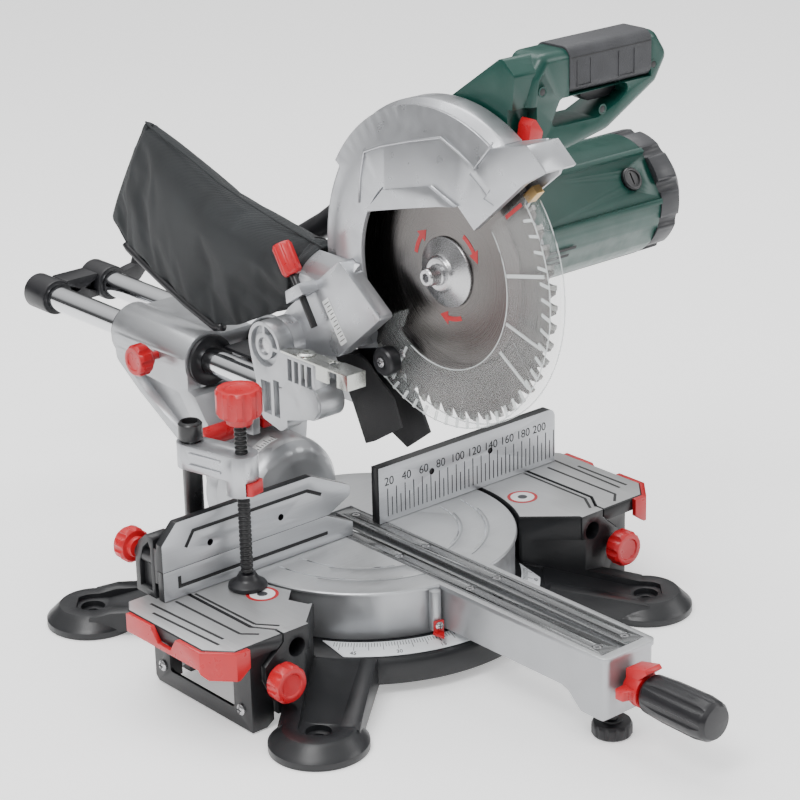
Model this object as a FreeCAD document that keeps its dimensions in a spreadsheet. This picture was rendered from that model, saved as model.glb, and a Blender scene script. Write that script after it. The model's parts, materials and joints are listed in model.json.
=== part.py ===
import FreeCAD, Part
import math
import os
import re

import Sketcher
from FreeCAD import Placement, Rotation, Vector

# Sliding compound mitre saw, in millimetres. X points to the operator's right, Y to the back,
# Z up. The origin is on the bench, on the turntable's turning axis.

os.makedirs("parts", exist_ok=True)
doc = FreeCAD.newDocument("mitre_saw")
sheet = doc.addObject("Spreadsheet::Sheet", "Sizes")
nodes = []

SIZES = [
    ("table_top", 83, "height of the work surface above the bench"),
    ("disc_radius", 134, "turntable disc"),
    ("disc_bottom", 39, "underside of the turntable disc"),
    ("pan_radius", 160, "round base pan, outside"),
    ("pan_top", 38.5, "deck that the turntable turns on"),
    ("pan_bottom", 10, "underside of the base pan"),
    ("pan_rear", 146, "pan radius behind the turning axis, clear of the bevel arm"),
    ("scale_outer", 155, "mitre scale ring, outside"),
    ("scale_inner", 137, "mitre scale ring, inside"),
    ("foot_x", 190, "bench bolt holes, from the middle plane"),
    ("foot_y", 162, "bench bolt holes, from the turning axis"),
    ("foot_radius", 42, "foot pad"),
    ("foot_height", 18, "foot pad, at the bolt hole"),
    ("bolt_hole", 5.5, "bench bolt hole radius"),
    ("arm_half", 28, "half the width of the turntable's front arm"),
    ("arm_reach", 328, "front end of the arm, from the turning axis"),
    ("arm_bottom", 43, "underside of the arm"),
    ("spigot_radius", 19.93, "turntable spigot"),
    ("spigot_hole", 20, "its bore in the base"),
    ("front_edge", 113, "front edge of the fixed tables"),
    ("rear_edge", 38, "rear edge of the fixed tables"),
    ("fixed_edge", 196, "outer edge of the fixed tables"),
    ("table_gap", 1.5, "slit between fixed table and extension"),
    ("wing_edge", 252, "outer edge of the extension tables"),
    ("wing_rear", 25, "rear edge of the extension tables"),
    ("wing_thickness", 12, "extension table plate"),
    ("panel_x", 217, "outer face of the extension's side panel"),
    ("bore_x", 171, "accessory bore, from the middle plane"),
    ("bore_z", 66, "accessory bore height"),
    ("bore_radius", 8.5, "accessory bore radius"),
    ("bore_depth", 55, "accessory bore depth"),
    ("lock_x", 195, "extension lock knob, from the middle plane"),
    ("lock_z", 47, "extension lock knob height"),
    ("fence_plate", 8, "thickness of the left fence"),
    ("fence_plate_right", 10, "thickness of the right fence"),
    ("fence_right", 233, "outer end of the right fence"),
    ("fence_left", 222, "outer end of the left fence"),
    ("fence_foot", 83.4, "lower edge of the fence plates, just clear of the turntable"),
    ("fence_gap", 15, "inner ends of the fences, from the middle plane"),
    ("fence_height", 137, "top of the right fence"),
    ("slide_height", 152, "top of the left fence"),
    ("split_height", 110, "top of the left fence's fixed half"),
    ("bevel_radius", 55, "bevel boss on the turntable"),
    ("bevel_face", 150, "rear face of the bevel boss"),
    ("rail_radius", 12.5, "slide rails"),
    ("rail_x", 33, "slide rails, from the middle plane"),
    ("rail_z", 206, "height of the slide rails"),
    ("rail_front", 25, "front end of the rails"),
    ("rail_rear", 466, "rear end of the rails"),
    ("sleeve_radius", 27, "slide housing around each rail"),
    ("sleeve_front", 182, "front face of the slide housing"),
    ("sleeve_rear", 300, "rear face of the slide housing"),
    ("pivot_y", 53, "chop pivot, from the turning axis"),
    ("pivot_z", 260, "chop pivot height"),
    ("pivot_radius", 8, "chop pivot shaft"),
    ("eye_radius", 22, "eyes and barrel round the chop pivot"),
    ("eye_inner", 50, "inner faces of the pivot eyes, from the middle plane"),
    ("eye_outer", 66, "outer faces of the pivot eyes"),
    ("blade_y", -116, "blade axis"),
    ("blade_z", 352, "blade axis height"),
    ("blade_radius", 127, "saw blade"),
    ("blade_thickness", 2.4, "saw blade"),
    ("blade_teeth", 48, "saw blade teeth"),
    ("arbor_radius", 15, "blade bore"),
    ("flange_radius", 30, "outer blade flange"),
    ("guard_radius", 146, "upper guard, outside"),
    ("guard_band", 86, "inner edge of the upper guard's near wall"),
    ("guard_left", -19, "near face of the upper guard"),
    ("guard_right", 11, "far face of the upper guard"),
    ("cover_radius", 132, "clear lower guard, outside"),
    ("cover_band", 80.5, "inner edge of the clear guard's near wall"),
    ("cover_hub", 30, "hub hole of the clear guard"),
    ("motor_y", -83, "motor axis"),
    ("motor_z", 364, "motor axis height"),
    ("motor_radius", 54, "motor housing"),
    ("motor_left", 60.3, "motor housing, gearbox end"),
    ("motor_right", 230, "motor housing, cap end"),
    ("motor_tip", 267, "end face of the motor cap"),
    ("grip_y", -165, "middle of the main handle"),
    ("grip_z", 518, "height of the main handle's grip"),
    ("post_x", -165, "clamp post"),
    ("post_y", 30, "clamp post"),
    ("post_radius", 8.5, "clamp post"),
    ("screw_x", -151, "clamp screw"),
    ("screw_y", -22, "clamp screw"),
    ("screw_radius", 5.5, "clamp screw"),
    ("port_x", -13, "middle of the dust port"),
    ("port_z", 322, "height of the dust port"),
    ("port_radius", 24, "dust port tube"),
    ("turn_clearance", 0.08, "radial clearance of a pin in its hole"),
]

for row, (alias, value, note) in enumerate(SIZES, start=1):
    sheet.set(f"A{row}", note)
    sheet.set(f"B{row}", str(value))
    sheet.setAlias(f"B{row}", alias)
doc.recompute()


# ---------------------------------------------------------------- helpers

DIRECTIONS = {"X": Vector(1, 0, 0), "Y": Vector(0, 1, 0), "Z": Vector(0, 0, 1)}
PLANE_ROLES = {"XY": "XY_Plane", "XZ": "XZ_Plane", "YZ": "YZ_Plane"}
PLANE_SHIFTS = {"XY": "Z", "XZ": "Y", "YZ": "X"}


def size(alias):
    """The number in one cell of the sheet."""
    return float(sheet.get(alias))


def bind(item, prop, value):
    """Sets a property to a number, or ties it to an expression in the sheet's aliases."""
    if isinstance(value, str):
        text = re.sub(r"[a-z]\w*", lambda found: "Sizes." + found.group(0), value)
        item.setExpression(prop, text)
    else:
        setattr(item, prop, value)


def place(item, at, direction="Z", spin=0):
    """Moves an object to a point whose parts may be expressions, its own Z along a direction."""
    target = DIRECTIONS[direction] if isinstance(direction, str) else Vector(*direction)
    rotation = Rotation(Vector(0, 0, 1), target).multiply(Rotation(Vector(0, 0, 1), spin))
    numbers = [0 if isinstance(part, str) else part for part in at]
    item.Placement = Placement(Vector(*numbers), rotation)
    for letter, part in zip("xyz", at):
        if isinstance(part, str):
            bind(item, "Placement.Base." + letter, part)
    return item


def cylinder(name, direction, at, radius, length):
    item = doc.addObject("Part::Cylinder", name)
    bind(item, "Radius", radius)
    bind(item, "Height", length)
    return place(item, at, direction)


def cone(name, direction, at, radius_low, radius_high, length):
    item = doc.addObject("Part::Cone", name)
    bind(item, "Radius1", radius_low)
    bind(item, "Radius2", radius_high)
    bind(item, "Height", length)
    return place(item, at, direction)


def block(name, low, extent):
    item = doc.addObject("Part::Box", name)
    for prop, value in zip(("Length", "Width", "Height"), extent):
        bind(item, prop, value)
    return place(item, low)


def polar(centre, radius, degrees):
    angle = math.radians(degrees)
    return centre[0] + radius * math.cos(angle), centre[1] + radius * math.sin(angle)


def arc_curve(centre, radius, first, last):
    """A circle's arc between two angles in degrees, in the sketch's plane."""
    circle = Part.Circle(Vector(centre[0], centre[1], 0), Vector(0, 0, 1), radius)
    low, high = sorted((math.radians(first), math.radians(last)))
    return Part.ArcOfCircle(circle, low, high)


def corner(before, point, after, radius):
    """Start, end and curve of the arc that rounds one corner of an outline."""
    here = Vector(point[0], point[1], 0)
    back = (Vector(before[0], before[1], 0) - here).normalize()
    ahead = (Vector(after[0], after[1], 0) - here).normalize()
    half = back.getAngle(ahead) / 2
    reach = radius / math.tan(half)
    start = here + back * reach
    end = here + ahead * reach
    middle_ray = (back + ahead).normalize()
    middle = here + middle_ray * (radius / math.sin(half) - radius)
    return start, end, Part.Arc(start, middle, end)


def ends(item):
    """First and last point of an outline item: a point, or ("arc", centre, radius, from, to)."""
    if item[0] == "arc":
        centre, radius, first, last = item[1:]
        return polar(centre, radius, first), polar(centre, radius, last)
    return item[:2], item[:2]


def outline_curves(outline):
    """Lines and arcs of a closed outline. A point's third number rounds that corner."""
    curves = []
    joints = []
    count = len(outline)
    for index, item in enumerate(outline):
        first, last = ends(item)
        if item[0] == "arc":
            curves.append(arc_curve(*item[1:]))
            joints.append((Vector(*first, 0), Vector(*last, 0)))
        elif len(item) == 3:
            before = ends(outline[index - 1])[1]
            after = ends(outline[(index + 1) % count])[0]
            start, end, curve = corner(before, item, after, item[2])
            curves.append(curve)
            joints.append((start, end))
        else:
            joints.append((Vector(*first, 0), Vector(*last, 0)))
    for index in range(count):
        start = joints[index][1]
        end = joints[(index + 1) % count][0]
        if start.distanceToPoint(end) > 1e-6:
            curves.append(Part.LineSegment(start, end))
    return curves


def draw(body, plane, loops):
    """A sketch on one of the body's own planes. A loop is an outline or ("circle", u, v, radius)."""
    sketch = body.newObject("Sketcher::SketchObject", body.Name + "_sketch")
    wanted = PLANE_ROLES[plane]
    base = [item for item in body.Origin.OriginFeatures if item.Role == wanted][0]
    sketch.AttachmentSupport = [(base, "")]
    sketch.MapMode = "FlatFace"
    for loop in loops:
        if loop[0] == "circle":
            add_circle(sketch, *loop[1:])
        else:
            for curve in outline_curves(loop):
                sketch.addGeometry(curve)
    return sketch


def add_circle(sketch, across, up, radius):
    number = size(radius) if isinstance(radius, str) else radius
    index = sketch.addGeometry(Part.Circle(Vector(across, up, 0), Vector(0, 0, 1), number))
    rule = sketch.addConstraint(Sketcher.Constraint("Radius", index, number))
    if isinstance(radius, str):
        bind(sketch, f"Constraints[{rule}]", radius)


def pad(name, plane, loops, start, length):
    """A body padded from one outline, or from an outline and its holes, towards the plus side."""
    body = doc.addObject("PartDesign::Body", name)
    feature = body.newObject("PartDesign::Pad", name + "_pad")
    feature.Profile = draw(body, plane, loops)
    feature.Reversed = plane == "XZ"
    bind(feature, "Length", length)
    at = [start if letter == PLANE_SHIFTS[plane] else 0 for letter in "XYZ"]
    return place(body, at)


def lathe(name, direction, at, profile):
    """A body turned about its own Z, from an outline of (radius, height) points."""
    body = doc.addObject("PartDesign::Body", name)
    feature = body.newObject("PartDesign::Revolution", name + "_turn")
    sketch = draw(body, "XZ", [profile])
    feature.Profile = sketch
    feature.ReferenceAxis = (sketch, ["V_Axis"])
    feature.Angle = 360
    return place(body, at, direction)


def flute(body, count, distance, radius):
    """Cuts equal flutes along the body's own Z, round its rim."""
    sketch = draw(body, "XY", [("circle", distance, 0, radius)])
    pocket = body.newObject("PartDesign::Pocket", body.Name + "_flute")
    pocket.Profile = sketch
    pocket.Type = "ThroughAll"
    pocket.Midplane = True
    pattern = body.newObject("PartDesign::PolarPattern", body.Name + "_flutes")
    pattern.Originals = [pocket]
    pattern.Axis = (sketch, ["N_Axis"])
    pattern.Angle = 360
    bind(pattern, "Occurrences", count)
    body.Tip = pattern
    return body


def fuse(name, items):
    item = doc.addObject("Part::MultiFuse", name)
    item.Shapes = items
    item.Refine = True
    return item


def cut(name, base, tools):
    item = doc.addObject("Part::Cut", name)
    item.Base = base
    item.Tool = tools[0] if len(tools) == 1 else fuse(name + "_tools", tools)
    return item


def common(name, items):
    item = doc.addObject("Part::MultiCommon", name)
    item.Shapes = items
    return item


def group(name, items):
    """Separate solids that share one node."""
    item = doc.addObject("Part::Compound", name)
    item.Links = items
    return item


def mirrored(name, source):
    item = doc.addObject("Part::Mirroring", name)
    item.Source = source
    item.Normal = Vector(1, 0, 0)
    return item


def soften(name, base, radius, picks, kind="Part::Fillet"):
    """Rounds or chamfers the edges that picks(edge) chooses."""
    doc.recompute()
    item = doc.addObject(kind, name)
    item.Base = base
    edges = enumerate(base.Shape.Edges, start=1)
    item.Edges = [(index, radius, radius) for index, edge in edges if picks(edge)]
    return item


def node(label, item):
    item.Label = label
    nodes.append(item)
    return item


def runs_along(edge, letter):
    """True for a straight edge parallel to one axis."""
    if not isinstance(edge.Curve, Part.Line):
        return False
    return abs(edge.Curve.Direction.dot(DIRECTIONS[letter])) > 0.999


def at_level(edge, letter, value):
    """True if the whole edge lies in one plane across an axis."""
    box = edge.BoundBox
    low = getattr(box, letter + "Min")
    high = getattr(box, letter + "Max")
    return abs(low - value) < 0.01 and abs(high - value) < 0.01


TOP = size("table_top")
BLADE = (size("blade_y"), size("blade_z"))
MOTOR = (size("motor_y"), size("motor_z"))
PIVOT = (size("pivot_y"), size("pivot_z"))


# ---------------------------------------------------------------- base

def front_plate_outline():
    """Six-sided cheek round the accessory bore and the lock knob, in X and Z."""
    return [
        (158, 20), (158, TOP), (184, TOP), (184, 75), (204, 58),
        (204, 46), (193, 22), (193, 12), (170, 12),
    ]


def fixed_table_outline():
    """The fixed table's plan, from the turntable's clearance arc outwards."""
    arc_radius = size("disc_radius") + 4
    rear = size("rear_edge")
    start = math.degrees(math.asin(rear / arc_radius))
    front = -size("front_edge")
    edge = size("fixed_edge")
    return [
        (edge, rear, 6), (edge, -86, 2), (184, -104, 2), (184, front), (160, front),
        ("arc", (0, 0), arc_radius, -32, start),
    ]


def leg(name, foot):
    """A diagonal leg: a wedge that falls from the pan to the flared foot pad."""
    x, y = foot
    length = math.hypot(x, y)
    heading = math.degrees(math.atan2(y, x))
    low = [(length, 17), (length, 2), (150, 8), (95, 12)]
    if y > 0:
        side = [(95, 33), (138, 33), (146, 24), (length - 20, 22)] + low
    else:
        side = [(95, 32.5), (157, 32.5), (162, 37), (length - 20, 22)] + low
    wedge = pad(name + "_wedge", "XZ", [side], -34, 68)
    wedge.Placement = Placement(Vector(0, 0, 0), Rotation(Vector(0, 0, 1), heading)).multiply(
        wedge.Placement
    )
    pad_profile = [
        (0, 0), ("foot_rim", 0), ("foot_rim", 6), (39, 9), (30, 18), (0, 18),
    ]
    rim = size("foot_radius")
    points = [(rim, h) if r == "foot_rim" else (r, h) for r, h in pad_profile]
    return [wedge, lathe(name + "_pad", "Z", (x, y, 0), points)]


def leg_hollow(name, foot):
    """The scooped channel along the top of a leg, and the counterbored bolt hole in its foot."""
    x, y = foot
    length = math.hypot(x, y)
    heading = math.degrees(math.atan2(y, x))
    side = [(140, 60), (140, 38), (length - 14, 14), (length + 14, 14), (length + 14, 60)]
    plan = [(130, -22), (length, -17), ("arc", (length, 0), 17, -90, 90), (130, 22)]
    trough = common(
        name + "_trough",
        [
            pad(name + "_trough_side", "XZ", [side], -30, 60),
            pad(name + "_trough_plan", "XY", [plan], 0, 80),
        ],
    )
    trough.Placement = Placement(Vector(0, 0, 0), Rotation(Vector(0, 0, 1), heading))
    hole = cylinder(name + "_hole", "Z", (x, y, -1), "bolt_hole", 30)
    counterbore = cylinder(name + "_counterbore", "Z", (x, y, 9), 11, 30)
    return [trough, hole, counterbore]


def base_casting():
    """One black casting: round pan, four legs, two fixed tables and the fence seats."""
    outer = size("pan_radius")
    deck = size("pan_top")
    inner = size("scale_inner")
    low = size("pan_bottom")
    hub = [(24, deck - 6), (24, 16), ("arc", (22, 16), 2, 0, -90), (0, 14), (0, deck), (inner, deck)]
    front_rim = [
        (size("scale_outer"), 33), (outer - 2, 32), (outer, 28), (outer, low), (outer - 6, low),
        (outer - 8, 27), (inner - 6, deck - 6),
    ]
    back = size("pan_rear")
    rear_rim = [
        (back - 2, 34), (back, 31), (back, low), (back - 6, low), (back - 8, 27), (inner - 6, deck - 6),
    ]
    rear_half = block("rear_half", (-180, 0, 0), (360, 180, 60))
    front_half = block("front_half", (-180, -180, 0), (360, 180, 60))
    pans = [
        common("pan_front", [lathe("pan_front_turn", "Z", (0, 0, 0), hub + front_rim), front_half]),
        common("pan_rear", [lathe("pan_rear_turn", "Z", (0, 0, 0), hub + rear_rim), rear_half]),
    ]
    plan = fixed_table_outline()
    slab = pad("fixed_slab", "XY", [plan], 29, TOP - 29)
    lip = soften("fixed_lip", slab, 1.2, lambda edge: at_level(edge, "Z", TOP), "Part::Chamfer")
    cheek = pad("front_cheek", "XZ", [front_plate_outline()], -size("front_edge"), 9)
    right = fuse("right_side", [lip, cheek])
    notch_plan = [(-100, -40), (-122, -46), (-142, -66), (-135, -84), (-110, -90)]
    notch = pad("pointer_notch", "XY", [notch_plan], 28, 60)
    left = cut("left_notched", mirrored("left_side", right), [notch])
    seat = cylinder("post_seat", "Z", ("post_x", "post_y", 58), 15, "table_top - 58")
    guides = [block(f"rod_guide_{sign}", (min(sign * 140, sign * 196), ROD_Y[1] - 10, 8), (56, 20, 26))
              for sign in (-1, 1)]
    solids = pans + [right, left, seat] + guides
    hollows = []
    feet_x = size("foot_x")
    feet_y = size("foot_y")
    for index, (sx, sy) in enumerate(((1, 1), (-1, 1), (-1, -1), (1, -1)), start=1):
        foot = (sx * feet_x, sy * feet_y)
        solids += leg(f"leg_{index}", foot)
        hollows += leg_hollow(f"leg_{index}", foot)
    hollows.append(cylinder("spigot_bore", "Z", (0, 0, 0), "spigot_hole", 60))
    for name, sign in (("right", 1), ("left", -1)):
        hollows += table_hollows(name, sign)
    hollows.append(
        cylinder("post_bore", "Z", ("post_x", "post_y", 61), "post_radius + turn_clearance", 60)
    )
    return node("base_casting", cut("base_cast", fuse("base_solid", solids), hollows))


def table_hollows(name, sign):
    """Pocket under a fixed table, accessory bore, rod bores and the lock screw's hole."""
    front = -size("front_edge")
    under = block(name + "_under", (142 if sign > 0 else -200, -58, 12), (58, 60, 56))
    under_front = block(name + "_under_front", (142 if sign > 0 else -200, -86, 12), (58, 29, 40))
    bore_at = (f"{sign} * bore_x", front - 1, "bore_z")
    bore = cylinder(name + "_bore", "Y", bore_at, "bore_radius", "bore_depth + 1")
    hollows = [under, under_front, bore]
    for index, y in enumerate(ROD_Y, start=1):
        start = 30 if sign > 0 else -230
        rod_at = (start, y, ROD_Z)
        hollows.append(cylinder(f"{name}_rod_bore_{index}", "X", rod_at, ROD + 0.08, 200))
    screw_at = (f"{sign} * lock_x", front - 1, "lock_z")
    hollows.append(cylinder(name + "_lock_bore", "Y", screw_at, LOCK_SCREW + 0.08, 26))
    return hollows


ROD = 6
ROD_Y = (-95, 15)
ROD_Z = 18
LOCK_SCREW = 4


def mitre_scale():
    """A thin graduated ring let into the sloping rim of the pan, open at the back."""
    inner = size("scale_inner")
    outer = size("scale_outer")
    low = size("pan_top")
    profile = [
        (inner + 0.5, low + 0.2), (outer - 0.5, 33.4), (outer - 0.5, 34.2), (inner + 0.5, low + 1),
    ]
    ring = lathe("scale_ring_turn", "Z", (0, 0, 0), profile)
    front = pad("scale_front", "XY", [[(-115, -170), (115, -170), (115, -60), (-115, -60)]], 0, 90)
    return node("mitre_scale_ring", common("scale_ring", [ring, front]))


def wing(name):
    """Right extension table: plate, front wall and side panel with its window."""
    edge = size("wing_edge")
    near = size("fixed_edge") + size("table_gap")
    front = -size("front_edge")
    rear = size("wing_rear")
    plan = [
        (near, rear), (near, -85.4), (185.5, -103.4), (185.5, front),
        (edge - 18, front), (edge, front + 20), (edge, rear - 14), (edge - 10, rear),
    ]
    plate = pad(name + "_plate", "XY", [plan], TOP - size("wing_thickness"), "wing_thickness")
    top = soften(name + "_top", plate, 1, lambda edge: at_level(edge, "Z", TOP), "Part::Chamfer")
    face = size("panel_x")
    wall_outline = [
        (185.5, TOP - 4), (185.5, 75.6), (205.5, 58.6), (205.5, 45.4), (194.5, 21.4),
        (194.5, 6), (202, 1), (face, 1), (face, TOP - 4),
    ]
    wall = pad(name + "_wall", "XZ", [wall_outline], front + 4, 3)
    panel_outline = [
        (front + 4, 1), (front + 4, TOP - 4), (27, TOP - 4), (27, 5), (23, 1),
    ]
    window = [(-85, 16, 3), (-85, 62, 3), (5, 62, 3), (5, 16, 3)]
    panel = pad(name + "_panel", "YZ", [panel_outline, window], face - 3, 3)
    fin = [(-60, TOP - 8), (-56, 52), (-46, 52), (-42, TOP - 8)]
    hook = pad(name + "_hook", "YZ", [fin], face - 13, 3)
    grip_rail = pad(
        name + "_rail", "YZ", [[(front + 12, 52), (front + 12, 56), (20, 56), (20, 52)]], face - 3, 3
    )
    pieces = [top, wall, panel, hook, grip_rail]
    for index, y in enumerate(ROD_Y, start=1):
        boss = block(f"{name}_rod_boss_{index}", (face - 13, y - 9, ROD_Z - 9), (11, 18, 18))
        pieces.append(boss)
    cheek_room = [(180, 0), (180, 75.8), (185.3, 75.8), (205.3, 58.8), (205.3, 45), (194.3, 21), (194.3, 0)]
    tools = [pad(name + "_cheek_room", "XZ", [cheek_room], front - 1, 11.5)]
    for index, y in enumerate(ROD_Y, start=1):
        tools.append(cylinder(f"{name}_rod_socket_{index}", "X", (190, y, ROD_Z), ROD + 0.02, face - 192.9))
    return cut(name + "_casting", fuse(name + "_solid", pieces), tools)


def wing_rods(name):
    """Two steel rods that carry an extension table in the base."""
    near = 40
    length = size("panel_x") - 3 - near
    rods = []
    for index, y in enumerate(ROD_Y, start=1):
        rods.append(cylinder(f"{name}_{index}", "X", (near, y, ROD_Z), ROD, length))
    return rods


def bumper(name):
    """Red rail round an extension's outer edge and front corner, with a notch for the fingers."""
    edge = size("wing_edge")
    front = -size("front_edge")
    plan = [
        (edge + 0.2, 8), (edge + 0.2, front + 20), (edge - 18, front - 0.2), (222, front - 0.2),
        (222, front - 4.5), (edge - 16, front - 4.5), (edge + 4.5, front + 18), (edge + 4.5, 8),
    ]
    band = pad(name + "_band", "XY", [plan], 58, 24.6)
    chamfer = pad(name + "_under", "XZ", [[(216, 56), (236, 56), (222, 66), (216, 66)]], -140, 30)
    low = pad(name + "_low", "YZ", [[(-102, 56), (-92, 66), (10, 66), (10, 56)]], 245, 14)
    notch = [(-63, 84), (-54, 70.5), (-37, 70.5), (-26, 84)]
    gap = pad(name + "_notch", "YZ", [notch], 245, 14)
    return cut(name + "_rail", band, [chamfer, low, gap])


def extensions():
    """The sliding side tables, with their rods and bumpers, on both sides."""
    right = wing("wing")
    node("right_extension_table", right)
    node("left_extension_table", mirrored("wing_left", right))
    rods = group("right_rods", wing_rods("rod"))
    node("right_extension_rods", rods)
    node("left_extension_rods", mirrored("left_rods", rods))
    rail = bumper("bumper")
    node("right_bumper", rail)
    node("left_bumper", mirrored("bumper_left", rail))


def star_knob(name, direction, at, radius, height, lobes, screw=0, screw_radius=0):
    """A fluted clamping knob. The screw, if any, points away from the knob's face."""
    rim = radius - 2
    profile = [
        (0, 0), (radius * 0.55, 0), (radius * 0.6, height * 0.2), (rim, height * 0.24),
        (radius, height * 0.36), (radius, height - 3), (rim, height), (radius * 0.62, height),
        (radius * 0.56, height - 1.2), (0, height - 1.2),
    ]
    if screw:
        profile[0:1] = [(0, -screw), (screw_radius, -screw), (screw_radius, 0)]
    body = lathe(name, direction, at, profile)
    return flute(body, lobes, radius * 1.14, radius * 0.26)


def extension_knobs():
    front = -size("front_edge")
    for label, sign in (("right", 1), ("left", -1)):
        at = (f"{sign} * lock_x", front - 3, "lock_z")
        knob = star_knob(label + "_lock", (0, -1, 0), at, 16.5, 20, 8, 19, LOCK_SCREW)
        node(label + "_extension_knob", knob)


# ---------------------------------------------------------------- fence

def fence_flange(name, low, length, plate, depth, rib_top):
    """The foot of a fence plate behind it, with two stiffening ribs."""
    foot = block(name + "_foot", (low, plate, "table_top"), (length, depth, 7))
    back = size(plate)
    end = back + depth - 2
    ribs = [foot]
    for index, share in enumerate((0.25, 0.75), start=1):
        x = low + length * share
        rib = [(back - 1, TOP + 6), (back - 1, rib_top), (back + 3, rib_top), (end, TOP + 7), (end, TOP + 6)]
        ribs.append(pad(f"{name}_rib_{index}", "YZ", [rib], x, 6))
    return ribs


def right_fence():
    gap = size("fence_gap")
    end = size("fence_right")
    top = size("fence_height")
    low = size("fence_foot")
    outline = [(gap, low), (gap, top), (end, top, 8), (end, low)]
    plate = pad("right_plate", "XZ", [outline], 0, "fence_plate_right")
    flange = fence_flange("right_flange", 140, 52, "fence_plate_right", 24, TOP + 32)
    holes = []
    for index, x in enumerate((78, 150), start=1):
        holes.append(cylinder(f"right_hole_{index}", "Y", (x, -1, 117), 3, 7))
    return node("right_fence", cut("right_fence_cut", fuse("right_fence_solid", [plate] + flange), holes))


def left_fence():
    """Fixed lower half and sliding upper half, with inlaid grooves on the working face."""
    gap = -size("fence_gap")
    end = -size("fence_left")
    split = size("split_height")
    top = size("slide_height")
    foot = size("fence_foot")
    lower_outline = [(end, foot), (end, split), (-45, split), (gap - 1, 96), (gap - 1, foot)]
    lower = pad("lower_plate", "XZ", [lower_outline], 0, "fence_plate")
    flange = fence_flange("left_flange", -196, 56, "fence_plate", 12, TOP + 13)
    groove = [(-45, 92), (-45, 95.2), (-203.8, 95.2), (-203.8, 103), (-207, 103), (-207, 92)]
    inlay = pad("lower_groove", "XZ", [groove], -1, 1.6)
    node("left_fence_base", cut("lower_cut", fuse("lower_solid", [lower] + flange), [inlay]))

    low = split + 0.4
    upper_outline = [
        (end, low), (end, 135, 3), (-206, top, 4), (-61, top, 6), (gap - 2, 131, 5), (gap - 4, 122, 4),
        (-43, low),
    ]
    upper = pad("upper_plate", "XZ", [upper_outline], 0, "fence_plate")
    tongue = block("upper_tongue", (end, "fence_plate", 98), (150, 4, 32))
    spacer = block("upper_relief", (end - 1, "fence_plate - 0.1", 97), (152, 0.5, low - 97))
    groove = [
        (-199, 128), (-190, 141.6), (-66, 141.6), (-50, 133.5), (-51.5, 130.6), (-67, 138.4),
        (-188, 138.4), (-196, 126),
    ]
    inlay = pad("upper_groove", "XZ", [groove], -1, 1.6)
    holes = [cylinder(f"upper_hole_{x}", "Y", (-x, -1, 124), 3, 12) for x in (172, 96)]
    solid = fuse("upper_solid", [upper, tongue])
    node("left_fence_slide", cut("upper_cut", solid, [spacer, inlay] + holes))


FENCE_LOCK = (-214, 117)


def fence_lock():
    """Black bracket behind the left fence, and the knob that clamps the sliding half."""
    side = [(12.6, TOP), (12.6, 137), (16, 139), (23, 139), (34, 130), (40, 112), (40, TOP)]
    cheek = pad("bracket_cheek", "YZ", [side], -222, 19)
    recess = [(17, TOP + 6), (17, 128), (20, 133), (28, 126), (34, 110), (34, TOP + 6)]
    hollow = pad("bracket_recess", "YZ", [recess], -223, 6)
    foot = block("bracket_foot", (-214, 21, TOP), (22, 17, 6))
    boss = cylinder("bracket_boss", "Y", (FENCE_LOCK[0], 12.6, FENCE_LOCK[1]), 7.5, 29)
    bore = cylinder("bracket_bore", "Y", (FENCE_LOCK[0], 5, FENCE_LOCK[1]), 4.08, 60)
    node("fence_bracket", cut("bracket", fuse("bracket_solid", [cut("bracket_cheek_cut", cheek, [hollow]), foot, boss]), [bore]))
    knob = star_knob("fence_star", "Y", (FENCE_LOCK[0], 46, FENCE_LOCK[1]), 15.5, 18, 8, 33, 4)
    node("fence_lock_knob", knob)


# ---------------------------------------------------------------- hold-down clamp

def clamp():
    """Post, arm, threaded screw with its knob, swivel pad and quick-release button."""
    post_radius = size("post_radius")
    post_profile = [
        (0, 62), (post_radius, 62), (post_radius, 208.5), (10.5, 208.5), (10.5, 222), (8.5, 224),
        (7, 224), (7, 219), (0, 219),
    ]
    node("clamp_post", lathe("post", "Z", ("post_x", "post_y", 0), post_profile))
    clamp_arm()
    clamp_screw()


def clamp_arm():
    post = (size("post_x"), size("post_y"))
    screw = (size("screw_x"), size("screw_y"))
    heading = math.degrees(math.atan2(screw[1] - post[1], screw[0] - post[0]))
    span = math.hypot(screw[0] - post[0], screw[1] - post[1])
    plan = [
        ("arc", (0, 0), 12.5, 90, 270), ("arc", (span, 0), 14, -90, 90),
    ]
    bar = pad("clamp_bar", "XY", [plan], 184, 22)
    swell = cone("clamp_swell", "Z", (span, 0, 198), 14, 9, 7)
    boss = cylinder("clamp_boss", "Z", (span, 0, 170), 14, 30)
    ribs = []
    for index, z in enumerate((189, 199), start=1):
        for side in (-1, 1):
            ribs.append(block(f"clamp_rib_{index}_{side + 1}", (8, side * 13.6 - 1.2, z), (span - 20, 2.4, 2)))
    solid = fuse("clamp_solid", [bar, swell, boss] + ribs)
    holes = [
        cylinder("clamp_post_hole", "Z", (0, 0, 180), "post_radius + turn_clearance / 2", 40),
        cylinder("clamp_screw_hole", "Z", (span, 0, 160), "screw_radius + turn_clearance", 60),
        block("clamp_button_slot", (span + 2, -9.5, 171.5), (20, 19, 12)),
    ]
    arm = cut("clamp_arm_cut", solid, holes)
    arm.Placement = Placement(
        Vector(post[0], post[1], 0), Rotation(Vector(0, 0, 1), heading)
    )
    node("clamp_arm", arm)
    plan = [(span + 10.5, -8.8), (span + 16, -8.8, 3), (span + 16, 8.8, 3), (span + 10.5, 8.8)]
    button = pad("clamp_button", "XY", [plan], 172, 11)
    button.Placement = Placement(
        Vector(post[0], post[1], 172), Rotation(Vector(0, 0, 1), heading)
    )
    node("clamp_release_button", button)


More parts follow.
